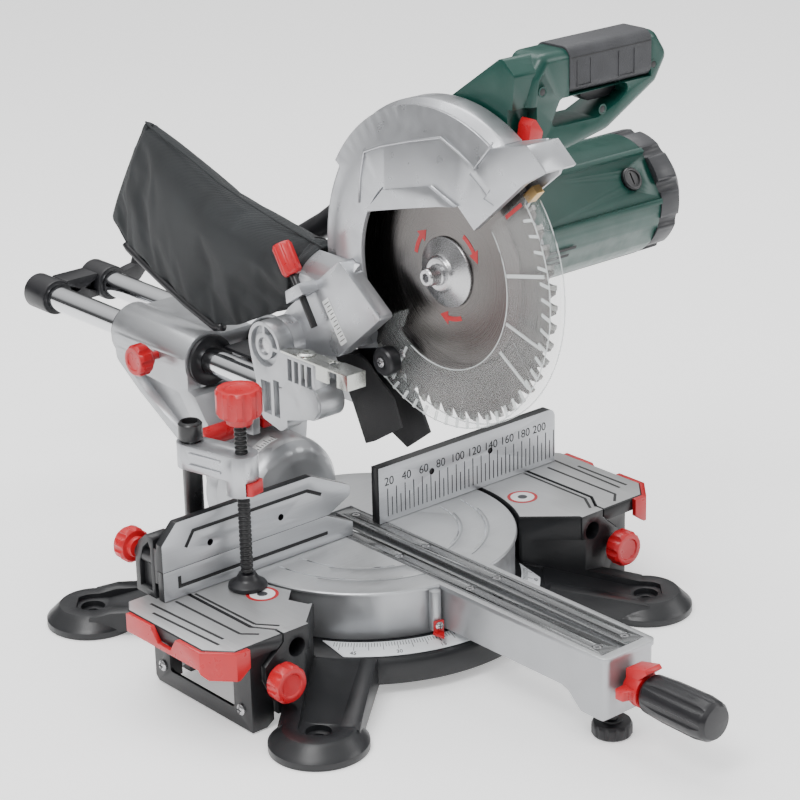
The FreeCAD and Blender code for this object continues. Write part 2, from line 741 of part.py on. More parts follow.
def clamp_screw():
    """The screw carries turned rings for its thread; the pad hangs on its ball end."""
    radius = size("screw_radius")
    pitch = 4
    low = 97
    high = 233
    profile = [(0, low)]
    turns = int((high - low) / pitch)
    for turn in range(turns):
        z = low + turn * pitch
        profile += [(radius - 0.9, z), (radius, z + pitch * 0.3), (radius, z + pitch * 0.6)]
    profile += [(radius - 0.9, low + turns * pitch), (0, low + turns * pitch)]
    node("clamp_spindle", lathe("spindle", "Z", ("screw_x", "screw_y", 0), profile))
    knob_base = low + turns * pitch
    knob = star_knob("clamp_star", "Z", ("screw_x", "screw_y", knob_base), 20, 31, 10)
    node("clamp_knob", knob)
    pad_profile = [
        (0, 83.3), (16, 83.3), (17, 84.5), (16.5, 87), (10, 91.5), (7.5, 96.3), (5, 96.6), (0, 96.6),
    ]
    node("clamp_pad", lathe("pad_turn", "Z", ("screw_x", "screw_y", 0), pad_profile))


# ---------------------------------------------------------------- turntable

KERF_FRONT = -318
KERF_REAR = 50
PLATE_HALF = 24
PLATE_THICK = 3


def turntable():
    """Disc and front arm in one aluminium casting, with the bevel boss at the back."""
    radius = size("disc_radius")
    low = size("disc_bottom")
    disc_profile = [
        (0, low), (radius - 2, low), (radius - 2, TOP - 4), (radius, TOP - 3), (radius, TOP - 1),
        (radius - 1, TOP), (0, TOP),
    ]
    disc = lathe("disc", "Z", (0, 0, 0), disc_profile)
    hollow_profile = [(26, low - 1), (radius - 8, low - 1), (radius - 8, TOP - 7), (26, TOP - 7)]
    hollow = lathe("disc_hollow", "Z", (0, 0, 0), hollow_profile)
    spigot = cylinder("spigot", "Z", (0, 0, 18), "spigot_radius", low - 17)
    arm = arm_solid()
    boss_face = size("bevel_face")
    boss = lathe(
        "bevel_boss", "Y", (0, 0, TOP),
        [(0, 98), (34, 98), (47, 102), (53, 109), (55, 116), (55, boss_face), (0, boss_face)],
    )
    above = block("boss_above", (-80, 60, low + 3), (160, 100, 120))
    boss_top = common("boss_top", [boss, above])
    pointer_boss = cylinder("pointer_boss", "Z", (-36, -132, 44), 5, 36)
    keel = block("keel", (-13, -120, 46), (26, 175, TOP - 46))
    solid = fuse("turntable_solid", [cut("disc_shell", disc, [hollow]), spigot, arm, boss_top,
                                     pointer_boss, keel])
    grooves = [table_groove(f"groove_{index}", r) for index, r in enumerate((84, 108), start=1)]
    tools = grooves + [
        block("plate_recess", (-PLATE_HALF - 0.3, KERF_FRONT - 2, TOP - PLATE_THICK - 0.2),
              (2 * PLATE_HALF + 0.6, KERF_REAR - KERF_FRONT + 4, 10)),
        block("kerf_channel", (-7, KERF_FRONT, 54), (14, KERF_REAR - KERF_FRONT, 40)),
        cylinder("bevel_bolt_bore", "Y", (0, 120, TOP), 6, 40),
        cylinder("foot_bore", "Z", (0, FOOT_Y, 20), 5.08, 44),
        cylinder("handle_bore", "Y", (0, -340, HANDLE_Z), 6.08, 24),
    ]
    node("turntable", cut("turntable_cut", solid, tools))


FOOT_Y = -308
HANDLE_Z = 53


def arm_solid():
    """Hollow front arm with a lip round its top and a leg at its end."""
    half = size("arm_half")
    reach = size("arm_reach")
    side = [
        (-110, 43), (-110, TOP), (-reach, TOP), (-reach, 29), (-reach + 3, 27), (-300, 27),
        (-286, 40), (-278, 43),
    ]
    body = pad("arm_side", "YZ", [side], -half, 2 * half)
    body = soften("arm_corners", body, 6, lambda edge: at_level(edge, "Y", -reach)
                  and runs_along(edge, "Z"))
    lip_plan = [
        (-half - 1.5, -118), (half + 1.5, -118), (half + 1.5, -reach - 1.5, 7),
        (-half - 1.5, -reach - 1.5, 7),
    ]
    lip = pad("arm_lip", "XY", [lip_plan], TOP - 4, 4)
    inner = half - 5
    hollow = block("arm_hollow", (-inner, -reach + 6, 30), (2 * inner, reach - 116, 42))
    foot_pillar = cylinder("foot_pillar", "Z", (0, FOOT_Y, 27), 9, 30)
    handle_pillar = block("handle_pillar", (-12, -reach + 2, 38), (24, 40, 30))
    shell = cut("arm_shell", fuse("arm_body", [body, lip]), [hollow])
    return fuse("arm_casting", [shell, foot_pillar, handle_pillar])


def table_groove(name, radius):
    """Two shallow arcs in the turntable's top, one each side of the arm."""
    ring = lathe(name + "_ring", "Z", (0, 0, 0),
                 [(radius, TOP - 0.7), (radius + 1.6, TOP - 0.7), (radius + 1.6, TOP + 2), (radius, TOP + 2)])
    sides = []
    for label, heading in (("left", -125), ("right", -45)):
        first = polar((0, 0), 200, heading - 28)
        last = polar((0, 0), 200, heading + 28)
        sides.append(pad(f"{name}_{label}", "XY", [[(0, 0), first, last]], TOP - 3, 6))
    return common(name, [ring, fuse(name + "_sectors", sides)])


def kerf_plates():
    """Two steel strips that leave the blade's slot between them, and their screws."""
    low = TOP - PLATE_THICK
    plates = []
    for label, x in (("left", -PLATE_HALF), ("right", 4)):
        plate = block(f"kerf_{label}", (x, KERF_FRONT - 1, low), (PLATE_HALF - 4, KERF_REAR - KERF_FRONT, PLATE_THICK))
        holes = []
        for index, y in enumerate(SCREW_Y, start=1):
            holes.append(cylinder(f"kerf_{label}_hole_{index}", "Z", (x + SCREW_X[label], y, low - 1), 4.2, 6))
        plates.append(cut(f"kerf_{label}_cut", plate, holes))
    node("kerf_plates", group("kerf_pair", plates))
    screws = []
    for label, x in (("left", -PLATE_HALF), ("right", 4)):
        for index, y in enumerate(SCREW_Y, start=1):
            at = (x + SCREW_X[label], y, low - 0.1)
            screws.append(cross_screw(f"kerf_screw_{label}_{index}", at, 4, 2.4))
    node("kerf_plate_screws", group("kerf_screws", screws))


SCREW_Y = (-306, -154, -62, 34)
SCREW_X = {"left": 8.5, "right": 11.5}


def cross_screw(name, at, radius, height):
    """A countersunk screw head with a cross recess."""
    head = lathe(name + "_head", "Z", at,
                 [(0, 0), (radius, 0), (radius, height - 0.5), (radius - 0.6, height), (0, height)])
    bars = []
    for index, (dx, dy) in enumerate(((radius * 0.55, 0.6), (0.6, radius * 0.55)), start=1):
        low = (at[0] - dx, at[1] - dy, at[2] + height - 1)
        bars.append(block(f"{name}_bar_{index}", low, (2 * dx, 2 * dy, 2)))
    return cut(name, head, bars)


def levelling_foot():
    profile = [
        (0, 0), (16, 0), (17, 1.5), (17, 9), (15.5, 12), (9, 12.5), (9, 14), (5, 14), (5, 48), (0, 48),
    ]
    foot = lathe("foot_turn", "Z", (0, FOOT_Y, 0), profile)
    node("levelling_foot", flute(foot, 12, 18.2, 2.2))


def mitre_handle():
    """Front handle: it screws in to lock the table, behind a red thumb lever."""
    grip_profile = [
        (0, 20), (13, 20), (16.5, 24), (18, 44), (18.5, 78), (17, 88), (14, 92), (0, 92),
    ]
    grip = lathe("front_grip", (0, -1, 0), (0, -330, HANDLE_Z), grip_profile)
    grip = flute(grip, 8, 20.8, 4.4)
    shank = cylinder("handle_shank", "Y", (0, -356, HANDLE_Z), 6, 39)
    node("mitre_handle", fuse("handle_solid", [grip, shank]))
    collar = lathe("lever_collar", (0, -1, 0), (0, -330, HANDLE_Z),
                   [(6.4, 1), (12, 1), (13.5, 6), (15, 12), (15, 18.5), (6.4, 18.5)])
    tab = [(-332, 60), (-332, 71), (-352, 76), (-355, 73), (-347, 66), (-347, 60)]
    tongue = pad("lever_tab", "YZ", [tab], -9, 18)
    bore = cylinder("lever_bore", "Y", (0, -360, HANDLE_Z), 6.4, 40)
    tray_outline = [(-24, -334, 2), (-24, -343, 2), (-8, -348), (-8, -333)]
    tray = pad("lever_tray", "XY", [tray_outline], 50, 8)
    node("mitre_release_lever", cut("lever", fuse("lever_solid", [collar, tongue, tray]), [bore]))


# ---------------------------------------------------------------- bevel arm and slide

def bevel_arm():
    """Tilting arm: pivot disc, slanting upright and the twin sleeve that carries the rails."""
    face = size("bevel_face") + 0.4
    rail_x = size("rail_x")
    rail_z = size("rail_z")
    front = size("sleeve_front")
    rear = size("sleeve_rear")
    disc = lathe("tilt_disc", "Y", (0, 0, TOP), [(0, face), (54, face), (54, 168), (50, 172), (0, 172)])
    side = [
        (face, 60), (face, 150, 8), (172, 178), (front + 0.2, 181), (front + 0.2, 214), (rear, 214),
        (rear - 4, 184, 10), (214, 128, 24), (172, 100), (172, 60),
    ]
    web = pad("tilt_web", "YZ", [side], -60, 120)
    plan = [(-46, 60), (-52, 110), (-58, 160), (-58, 240), (58, 240), (58, 160), (52, 110), (46, 60)]
    spread = pad("tilt_spread", "XZ", [plan], 100, 250)
    upright = common("tilt_upright", [web, spread])
    flank = [(178, 152), (196, 176), (282, 182), (210, 138), (180, 112)]
    hollows = []
    for label, x in (("left", -62), ("right", 48)):
        hollows.append(pad(f"tilt_flank_{label}", "YZ", [flank], x, 14))
    sleeves = []
    for label, x in (("left", -rail_x), ("right", rail_x)):
        sleeves.append(cylinder(f"sleeve_{label}", "Y", (x, front, rail_z), "sleeve_radius",
                                "sleeve_rear - sleeve_front"))
        hollows.append(cylinder(f"sleeve_bore_{label}", "Y", (x, front - 1, rail_z), 20.05, 200))
    deck = block("sleeve_deck", (-rail_x, front, rail_z - 12), (2 * rail_x, rear - front, 34))
    lugs = []
    for label, x in (("left", -24), ("right", 12)):
        lug = [(LEVER_Y - 8, LEVER_Z - 9), (LEVER_Y - 8, LEVER_Z + 9, 4), (160, LEVER_Z + 12), (160, 139)]
        lugs.append(pad(f"lug_{label}", "YZ", [lug], x, 8))
    hollows.append(cylinder("lug_bore", "X", (-40, LEVER_Y, LEVER_Z), 4.08, 70))
    hollows.append(cylinder("tilt_bolt_bore", "Y", (0, 140, TOP), 6, 60))
    hollows.append(cylinder("slide_lock_bore", "X", (-70, SLIDE_LOCK_Y, rail_z), 4.08, 30))
    solid = fuse("tilt_solid", [disc, upright, deck] + sleeves + lugs)
    node("bevel_arm", cut("tilt_cut", solid, hollows))


LEVER_Y = 139
LEVER_Z = 152
SLIDE_LOCK_Y = 226


def linear_bearings():
    """Black plain bearings with a wide collar, at both ends of both sleeves."""
    rings = []
    bore = size("rail_radius") + 0.06
    for side, x in (("left", -size("rail_x")), ("right", size("rail_x"))):
        profile = [(bore, -5), (24, -5), (24, -0.2), (20, -0.2), (20, 14), (bore, 14)]
        rings.append(lathe(f"bearing_{side}_front", "Y", (x, size("sleeve_front"), "rail_z"), profile))
        rings.append(lathe(f"bearing_{side}_rear", (0, -1, 0), (x, size("sleeve_rear"), "rail_z"), profile))
    node("linear_bearings", group("bearings", rings))


def bevel_details():
    knob = star_knob("slide_star", (-1, 0, 0), (-68, SLIDE_LOCK_Y, "rail_z"), 15, 19, 8, 20, 4)
    node("slide_lock_knob", knob)
    tube_profile = [
        (0, -46), (5, -46), (5, -52), (9, -52), (9, -12), (4, -12), (4, 50), (9, 50), (9, 60), (7, 62),
        (0, 62),
    ]
    tube = lathe("lever_tube", "X", (-26, LEVER_Y, LEVER_Z), tube_profile)
    paddle = block("lever_paddle", (-12, LEVER_Y - 9, LEVER_Z - 5), (22, 12, 8))
    node("bevel_lock_lever", fuse("bevel_lever", [tube, paddle]))
    bolt = lathe(
        "tilt_bolt", "Y", (0, 0, TOP),
        [(0, 126), (5.95, 126), (5.95, 172.2), (11, 172.2), (11, 180), (9.5, 181), (0, 181)],
    )
    node("bevel_bolt", bolt)


def slide_rails():
    rails = []
    for label, sign in (("left", -1), ("right", 1)):
        rails.append(
            lathe(
                f"rail_{label}", "Y", (f"{sign} * rail_x", 0, "rail_z"),
                [
                    (0, size("rail_front")), (size("rail_radius"), size("rail_front")),
                    (size("rail_radius"), size("rail_rear")), (0, size("rail_rear")),
                ],
            )
        )
    node("slide_rails", group("rails", rails))


def ear_outline():
    """Side view of a pivot eye with its stem down to the rail clamp, in Y and Z."""
    y, z = PIVOT
    radius = size("eye_radius")
    return [
        ("arc", (y, z), radius, -12, 192), (26, 222), (24, 192, 4), (34, 186, 6), (60, 192, 6), (66, 222),
    ]


def front_bracket():
    """Ribbed casting on the rails' front ends, with the eyes of the chop pivot."""
    inner = size("eye_inner")
    outer = size("eye_outer")
    width = outer - inner
    left = pad("ear_left", "YZ", [ear_outline()], -outer, width)
    y, z = PIVOT
    recess_low = pad("ear_recess_low", "YZ", [[(30, 198), (30, 232), (42, 232), (42, 198)]], -outer - 1, 7)
    recess_mid = pad("ear_recess_mid", "YZ", [[(46, 198), (46, 228), (60, 228), (57, 198)]], -outer - 1, 7)
    ring_recess = cut(
        "ear_ring_recess",
        cylinder("ear_ring_outer", "X", (-outer - 1, y, z), 18.5, 6),
        [cylinder("ear_ring_inner", "X", (-outer - 2, y, z), 12, 9)]
        + [block("ear_spoke_a", (-outer - 2, y - 1.5, z), (9, 3, 24)),
           block("ear_spoke_b", (-outer - 2, y - 24, z - 1.5), (9, 24, 3))],
    )
    left_ear = cut("ear_left_cut", left, [recess_low, recess_mid, ring_recess])
    right_ear = mirrored("ear_right", left_ear)
    bar = cut("rail_clamp", block("rail_clamp_bar", (-52, 30, 190), (104, 48, 33)),
              [block("chute_gap", (-18, 20, 180), (36, 42, 60))])
    nose_left = cylinder("nose_left", "X", (-outer, -8, 224), 16, 26)
    nose_right = cylinder("nose_right", "X", (outer - 26, -8, 224), 16, 26)
    cap_ring = cylinder("nose_cap_ring", "X", (-outer - 2, -8, 224), 14.5, 4)
    bridge = pad("nose_bridge", "YZ", [[(-8, 208), (-8, 240), (34, 226), (34, 196)]], -outer, 2 * outer)
    bridge_gap = block("bridge_gap", (-44, -30, 190), (88, 66, 70))
    pedestal = block("stop_pedestal", (-outer, -16, 228), (width - 1.5, 50, 33.6))
    pedestal_ribs = [
        block(f"pedestal_slot_{index}", (-outer - 1, -12 + 9 * index, 237), (8, 6, 20)) for index in range(4)
    ]
    side_pieces = [cut("bridge_sides", bridge, [bridge_gap]), nose_left, nose_right, cap_ring]
    solid = fuse("bracket_body", [left_ear, right_ear, bar, pedestal] + side_pieces)
    tools = [
        cylinder("bracket_pivot_bore", "X", (-80, y, z), "pivot_radius + 0.05", 160),
        cylinder("stop_screw_bore", "Z", (STOP_X, STOP_Y, 240), 3.08, 30),
    ] + pedestal_ribs
    for label, sign in (("left", -1), ("right", 1)):
        tools.append(
            cylinder(f"rail_socket_{label}", "Y", (f"{sign} * rail_x", "rail_front", "rail_z"),
                     "rail_radius + 0.02", 80)
        )
    node("rail_front_bracket", cut("front_bracket_cut", solid, tools))


STOP_X = -60.5
STOP_Y = 1


def stop_plate():
    """Folded steel plate that swings in under the depth stop screw."""
    slot = [(-60, -34, 2), (-60, -26, 2), (-52, -26, 2), (-52, -34, 2)]
    top_outline = [
        (-69, -64), (-49, -64), (-49, -38), (-51, -34), (-51, 14, 6), (-58, 26, 6), (-69, 26),
    ]
    top = pad("stop_top", "XY", [top_outline, slot], 262, 2)
    side = block("stop_side", (-69, -38, 250), (2, 16, 13))
    front = block("stop_front", (-69, -64, 250), (20, 2, 13))
    cheek = block("stop_cheek", (-69, -64, 250), (2, 14, 13))
    screw = lathe("stop_screw", "Z", (STOP_X, STOP_Y, 0),
                  [(0, 243), (3, 243), (3, 263.9), (8.5, 263.9), (8.5, 265.4), (6, 267), (0, 267.6)])
    plate = cut("stop_plate_cut", fuse("stop_solid", [top, side, front, cheek, screw]),
                [block("stop_cross_a", (STOP_X - 4, STOP_Y - 0.8, 266.2), (8, 1.6, 3)),
                 block("stop_cross_b", (STOP_X - 0.8, STOP_Y - 4, 266.2), (1.6, 8, 3))])
    node("stop_plate", plate)


def rear_bracket():
    """Black plastic bridge on the rails' rear ends, with a cable hook on its far side."""
    rail_x = size("rail_x")
    rail_z = size("rail_z")
    pieces = []
    for label, x in (("left", -rail_x), ("right", rail_x)):
        profile = [(12.6, 432), (17, 432), (17.5, 434), (17.5, 466), (15.5, 469), (0, 469), (0, 466.2), (12.6, 466.2)]
        pieces.append(lathe(f"end_cap_{label}", "Y", (x, 0, rail_z), profile))
    plate = [(-19, 195), (-19, 219, 2), (19, 219, 2), (19, 195)]
    web = pad("end_web", "XZ", [plate], 436, 26)
    pockets = []
    for index, (y, depth) in enumerate(((435, 10), (452, 11)), start=1):
        triangle = [(-19, 199), (-19, 215), (-2, 207)]
        other = [(19, 199), (19, 215), (2, 207)]
        pockets.append(pad(f"web_left_{index}", "XZ", [triangle], y, depth))
        pockets.append(pad(f"web_right_{index}", "XZ", [other], y, depth))
    hook_outline = [(46, 200), (46, 212), (68, 216), (74, 232), (80, 232), (78, 208), (70, 200)]
    hook = pad("cable_hook", "XZ", [hook_outline], 438, 12)
    node("rail_rear_bracket", fuse("rear_bracket", pieces + [cut("web_cut", web, pockets), hook]))


def pivot():
    shaft = lathe(
        "pivot_turn", "X", (0, "pivot_y", "pivot_z"),
        [(0, -64), (8, -64), (8, 64), (0, 64)],
    )
    node("pivot_shaft", shaft)
    coils = []
    for index in range(5):
        ring = doc.addObject("Part::Torus", f"spring_coil_{index}")
        ring.Radius1 = 12.5
        ring.Radius2 = 1.5
        place(ring, (30 + 3.1 * index, "pivot_y", "pivot_z"), "X")
        coils.append(ring)
    node("return_spring", group("return_coils", coils))


# ---------------------------------------------------------------- saw head

def guard_hollow(name, low, high):
    """The round space of the guard and blade, to keep other castings clear of it."""
    return cylinder(name, "X", (low, "blade_y", "blade_z"), "guard_radius + 0.5", high - low)


def head_arm():
    """Casting from the pivot barrel to the guard, with the dust port and the depth stop lug."""
    y, z = PIVOT
    barrel = cylinder("barrel", "X", (-49.6, y, z), "eye_radius", 99.2)
    cheek_outline = [
        (-71, 308, 3), (-13, 260, 4), (24, 253, 8), (47, 250, 8), (67, 274, 6), (54, 288, 6),
        (15, 320, 3), (-18, 347, 4),
    ]
    left_cheek = pad("arm_cheek", "YZ", [cheek_outline], -37, 14.7)
    middle = pad("arm_middle", "YZ", [cheek_outline], -22.3, 60.3)
    clear = guard_hollow("arm_clear", -22.4, 11.4)
    gearbox_side = cylinder("arm_gearbox_side", "X", (11.3, *BLADE), 90, 40)
    port = lathe("port_tube", "Y", ("port_x", 0, "port_z"),
                 [(0, -30), (size("port_radius"), -30), (size("port_radius"), 62), (0, 62)])
    port_bore = cylinder("port_bore", "Y", ("port_x", -20, "port_z"), "port_radius - 3", 100)
    middle_y, middle_z = DEPTH_MIDDLE
    lug_outline = [
        (middle_y - 15, middle_z), (middle_y - 9, middle_z + 8), (middle_y + 9, middle_z - 3),
        (middle_y + 8, middle_z - 14),
    ]
    lug = pad("stop_lug", "YZ", [lug_outline], DEPTH_X - 8, 20)
    spring_room = cylinder("spring_room", "X", (27, y, z), 15, 19)
    solid = fuse("arm_head_solid", [barrel, left_cheek, middle, port, lug])
    tools = [
        clear, gearbox_side, port_bore, spring_room,
        cylinder("arm_pivot_bore", "X", (-60, y, z), "pivot_radius + turn_clearance", 120),
        depth_rod("arm_depth_bore", 3.28, -70, 70),
    ]
    node("head_arm", cut("head_arm_cut", solid, tools))


DEPTH_X = -47
DEPTH_MIDDLE = (25, 315)
DEPTH_SLOPE = math.degrees(math.atan2(42, 27))


def depth_direction():
    angle = math.radians(DEPTH_SLOPE)
    return 0, math.cos(angle), math.sin(angle)


def depth_rod(name, radius, start, length):
    """A cylinder on the depth stop screw's slanting axis."""
    _, dy, dz = depth_direction()
    at = (DEPTH_X, DEPTH_MIDDLE[0] + dy * start, DEPTH_MIDDLE[1] + dz * start)
    return cylinder(name, depth_direction(), at, radius, length - start)


def depth_stop():
    """Threaded stop screw with its ribbed knob and lock nut."""
    rod = depth_rod("depth_rod", 3.2, -36, 22)
    _, dy, dz = depth_direction()
    at = (DEPTH_X, DEPTH_MIDDLE[0] + dy * 12, DEPTH_MIDDLE[1] + dz * 12)
    node("depth_stop_screw", rod)
    profile = [(3.25, 1), (7, 1), (9, 4), (9, 27), (7.5, 30), (0, 30), (0, 11), (3.25, 11)]
    node("depth_stop_knob", flute(lathe("depth_knob", depth_direction(), at, profile), 8, 10.3, 2.2))


def sector(name, first, last, low, high):
    """A wedge of space about the blade axis, to cut turned guards to their angles."""
    reach = 400
    steps = max(2, int((last - first) / 60) + 1)
    points = [BLADE]
    for index in range(steps + 1):
        points.append(polar(BLADE, reach, first + (last - first) * index / steps))
    return pad(name, "YZ", [points], low, high - low)


GUARD_FROM = -40
GUARD_TO = 122
NOSE_TOP = (-234, 485)
NOSE_TIP = (-254, 468)
NOSE_UNDER = (-229, 453)
NOSE_HEEL = (-172, 404)


def upper_guard():
    """Fixed blade guard: turned shell, raised side panel, lip and the open nose."""
    outer = size("guard_radius")
    band = size("guard_band")
    left = size("guard_left")
    right = size("guard_right")
    shell_profile = [
        (outer, right), (outer, left + 12, 4), (outer - 11, left, 4), (124, left), (119, left - 3), (band, left - 3),
        (band, left + 1), (118, left + 1), (122, left + 3), (outer - 12, left + 3), (outer - 3, left + 13),
        (outer - 3, right),
    ]
    turned = lathe("guard_turn", "X", (0, *BLADE), shell_profile)
    shell = common("guard_shell", [turned, sector("guard_sector", GUARD_FROM, GUARD_TO, -40, 40)])
    top_end = polar(BLADE, outer - 1, GUARD_TO)
    panel_outline = [
        (-40, 392), (-62, 416), (-36, 442), (-132, 466), (-174, 453), top_end, NOSE_TOP, NOSE_TIP,
        NOSE_UNDER, NOSE_HEEL, (-153, 420), (-132, 416),
    ]
    panel = pad("guard_panel", "YZ", [panel_outline], left - 3, 6)
    web_outline = [
        (-40, 392), ("arc", BLADE, outer - 4, 32, GUARD_TO), NOSE_TOP, NOSE_TIP, NOSE_UNDER, NOSE_HEEL,
        (-153, 420), (-132, 416),
    ]
    web = pad("guard_web", "YZ", [web_outline], left, 3)
    lip_outline = [(-42, 394), (-64, 416), (-122, 431), (-149, 421), (-153, 420), (-132, 416)]
    lip = pad("guard_lip", "YZ", [lip_outline], left - 7, 8)
    slope = block("lip_slope", (-30, -200, 300), (5, 200, 200))
    slope.Placement = Placement(Vector(-28.5, -200, 396), Rotation(Vector(0, 1, 0), -24))
    nose_outline = [
        top_end, NOSE_TOP, NOSE_TIP, (-251, 465.6), (-233, 481.4), polar(BLADE, outer - 4, GUARD_TO),
    ]
    nose = pad("guard_nose", "YZ", [nose_outline], left, right - left)
    far_outline = [
        ("arc", BLADE, outer - 1, GUARD_FROM, GUARD_TO), (-223, 483), (-241, 466), (-237, 457),
        (-206, 432), (-172, 372), (-160, 318), (-120, 296), (-66, 290),
    ]
    far = pad("guard_far", "YZ", [far_outline], right - 3, 3)
    solid = fuse("guard_solid", [shell, panel, web, lip, nose, far])
    tools = [
        cylinder("guard_hub_hole", "X", (0, *BLADE), 33, 30),
        guard_arrow(),
    ]
    node("upper_guard", cut("guard_cut", solid, tools))


def guard_arrow():
    """Engraved arc with a head that shows which way the blade turns."""
    radius = 112
    left = size("guard_left") - 3
    band = [
        ("arc", BLADE, radius, 118, 131), ("arc", BLADE, radius - 2.4, 131, 118),
    ]
    tip = [polar(BLADE, radius + 5, 130), polar(BLADE, radius - 1.2, 136), polar(BLADE, radius - 7, 130)]
    stroke = pad("arrow_band", "YZ", [band], left - 1, 1.7)
    head = pad("arrow_head", "YZ", [tip], left - 1, 1.7)
    return fuse("guard_arrow", [stroke, head])


COVER_FROM = 139
COVER_TO = 310


def lower_guard():
    """Clear guard that swings about the arbor: near wall, rim, far wall with its hub."""
    outer = size("cover_radius")
    band = size("cover_band")
    wall_profile = [
        (band, -10), (outer - 1.5, -10), (outer, -8.5), (outer, 5.5), (96, 5.5), (96, 3.5),
        (outer - 2, 3.5), (outer - 2, -8), (band, -8),
    ]
    turned = lathe("cover_turn", "X", (0, *BLADE), wall_profile)
    wall = common("cover_wall", [turned, sector("cover_sector", COVER_FROM, COVER_TO, -20, 20)])
    hub = cylinder("cover_hub_disc", "X", (3.5, *BLADE), 40, 2)
    spokes = []
    for index, angle in enumerate((150, 225, 300), start=1):
        inner = polar(BLADE, 32, angle)
        outline = [
            polar(inner, 12, angle + 90), polar(polar(BLADE, 104, angle), 12, angle + 90),
            polar(polar(BLADE, 104, angle), 12, angle - 90), polar(inner, 12, angle - 90),
        ]
        spokes.append(pad(f"cover_spoke_{index}", "YZ", [outline], 3.5, 2))
    tab_outline = [
        polar(BLADE, 84, 309), polar(BLADE, 60, 314), polar(BLADE, 58, 316), polar(BLADE, 84, 322),
        polar(BLADE, 112, 316), polar(BLADE, 126, 309),
    ]
    tab = pad("cover_tab", "YZ", [tab_outline], -10, 2)
    ribs = []
    for index in range(3):
        angle = 160 + 50 * index
        a = polar(BLADE, 92, angle - 10)
        b = polar(BLADE, 128, angle)
        side_a = polar(a, 1.2, angle + 70)
        side_b = polar(a, 1.2, angle - 110)
        side_c = polar(b, 1.2, angle - 110)
        side_d = polar(b, 1.2, angle + 70)
        ribs.append(pad(f"cover_rib_{index}", "YZ", [[side_a, side_b, side_c, side_d]], -12, 2.5))
    solid = fuse("cover_solid", [wall, hub, tab] + spokes + ribs)
    holes = [
        cylinder("cover_hub_hole", "X", (-20, *BLADE), "cover_hub", 60),
        cylinder("cover_roller_hole", "X", (-20, *ROLLER), 3.5, 30),
    ]
    node("lower_guard", cut("cover_cut", solid, holes))
    roller = lathe(
        "roller", (-1, 0, 0), (0, *ROLLER),
        [(0, 8), (3.4, 8), (3.4, 10.2), (11.5, 10.2), (12.5, 12), (12.5, 21), (11, 23), (5, 23), (5, 21.5),
         (0, 21.5)],
    )
    node("guard_knob", roller)


ROLLER = (-54, 262)


def blade_outline():
    """The toothed rim, one tooth after another: back, gullet and face."""
    teeth = int(size("blade_teeth"))
    radius = size("blade_radius")
    points = []
    for tooth in range(teeth):
        start = 360 * tooth / teeth
        points.append(polar(BLADE, radius, start))
        points.append(polar(BLADE, radius - 1.2, start + 3.2))
        points.append(polar(BLADE, radius - 8, start + 5.4))
        points.append(polar(BLADE, radius - 8.5, start + 6.6))
        points.append(polar(BLADE, radius - 3.2, start + 7.2))
    return points


def blade_set():
    thickness = size("blade_thickness")
    blade = pad("blade", "YZ", [blade_outline(), ("circle", *BLADE, "arbor_radius")],
                -thickness / 2, "blade_thickness")
    node("saw_blade", blade)
    half = thickness / 2
    outer = lathe("flange_outer", (-1, 0, 0), (0, *BLADE), [
        (5.5, half), (30, half), (30, half + 2.2), (28, half + 3), (16, half + 8), (14, 12.4), (5.5, 12.4),
    ])
    inner = lathe("flange_inner", "X", (0, *BLADE), [
        (size("arbor_radius") + 0.05, half), (24, half), (24, 7.6), (size("arbor_radius") + 0.05, 7.6),
    ])
    node("blade_flanges", group("flanges", [outer, inner]))
    spindle = lathe("spindle_shaft", "X", (0, *BLADE), [
        (5.05, -half), (14.95, -half), (14.95, 40), (26, 40), (26, 50), (10, 50), (10, 55.5), (0, 55.5),
        (0, 24), (5.05, 24),
    ])
    node("arbor_spindle", spindle)
    bolt = lathe("arbor_head", (-1, 0, 0), (0, *BLADE), [
        (0, -20), (5, -20), (5, 12.5), (9, 12.5), (9, 14), (7.6, 14.6), (7.6, 24), (6.6, 25.4), (0, 25.4),
    ])
    socket = doc.addObject("Part::Prism", "arbor_socket")
    socket.Polygon = 6
    socket.Circumradius = 4.3
    socket.Height = 8
    place(socket, (-27, *BLADE), "X")
    node("arbor_bolt", cut("arbor_bolt_cut", bolt, [socket]))


def gearbox():
    """Gear housing between the guard and the motor, with the boss that the clear guard turns on."""
    outline = [
        ("arc", BLADE, 50, 200, 330), ("arc", MOTOR, 55, -30, 70), (-70, 424, 6), (-100, 470, 8),
        (-140, 474, 8), (-158, 440, 8), ("arc", BLADE, 55, 120, 165),
    ]
    shell = pad("gear_shell", "YZ", [outline], 11.4, 48.6)
    boss = lathe("gear_boss", "X", (0, *BLADE), [(26.6, 2.6), (29.93, 2.6), (29.93, 12), (26.6, 12)])
    collar = cylinder("gear_collar", "X", (8.2, *BLADE), 32.6, 5)
    void = pad("gear_void", "YZ", [[("arc", BLADE, 36, 150, 320), ("arc", MOTOR, 40, -40, 110)]], 16, 40)
    nose_bore = cylinder("gear_nose_bore", "X", (0, *BLADE), 26.6, 30)
    motor_bore = cylinder("gear_motor_bore", "X", (50, *MOTOR), 12, 20)
    vents = []
    for index in range(4):
        vents.append(block(f"gear_vent_{index}", (40 + 5 * index, -150, 318 - 3 * index), (2, 40, 3)))
    body = fuse("gear_solid", [shell, boss, collar])
    node("gearbox_housing", cut("gear_cut", body, [void, nose_bore, motor_bore]))


FACET_ANGLE = 145


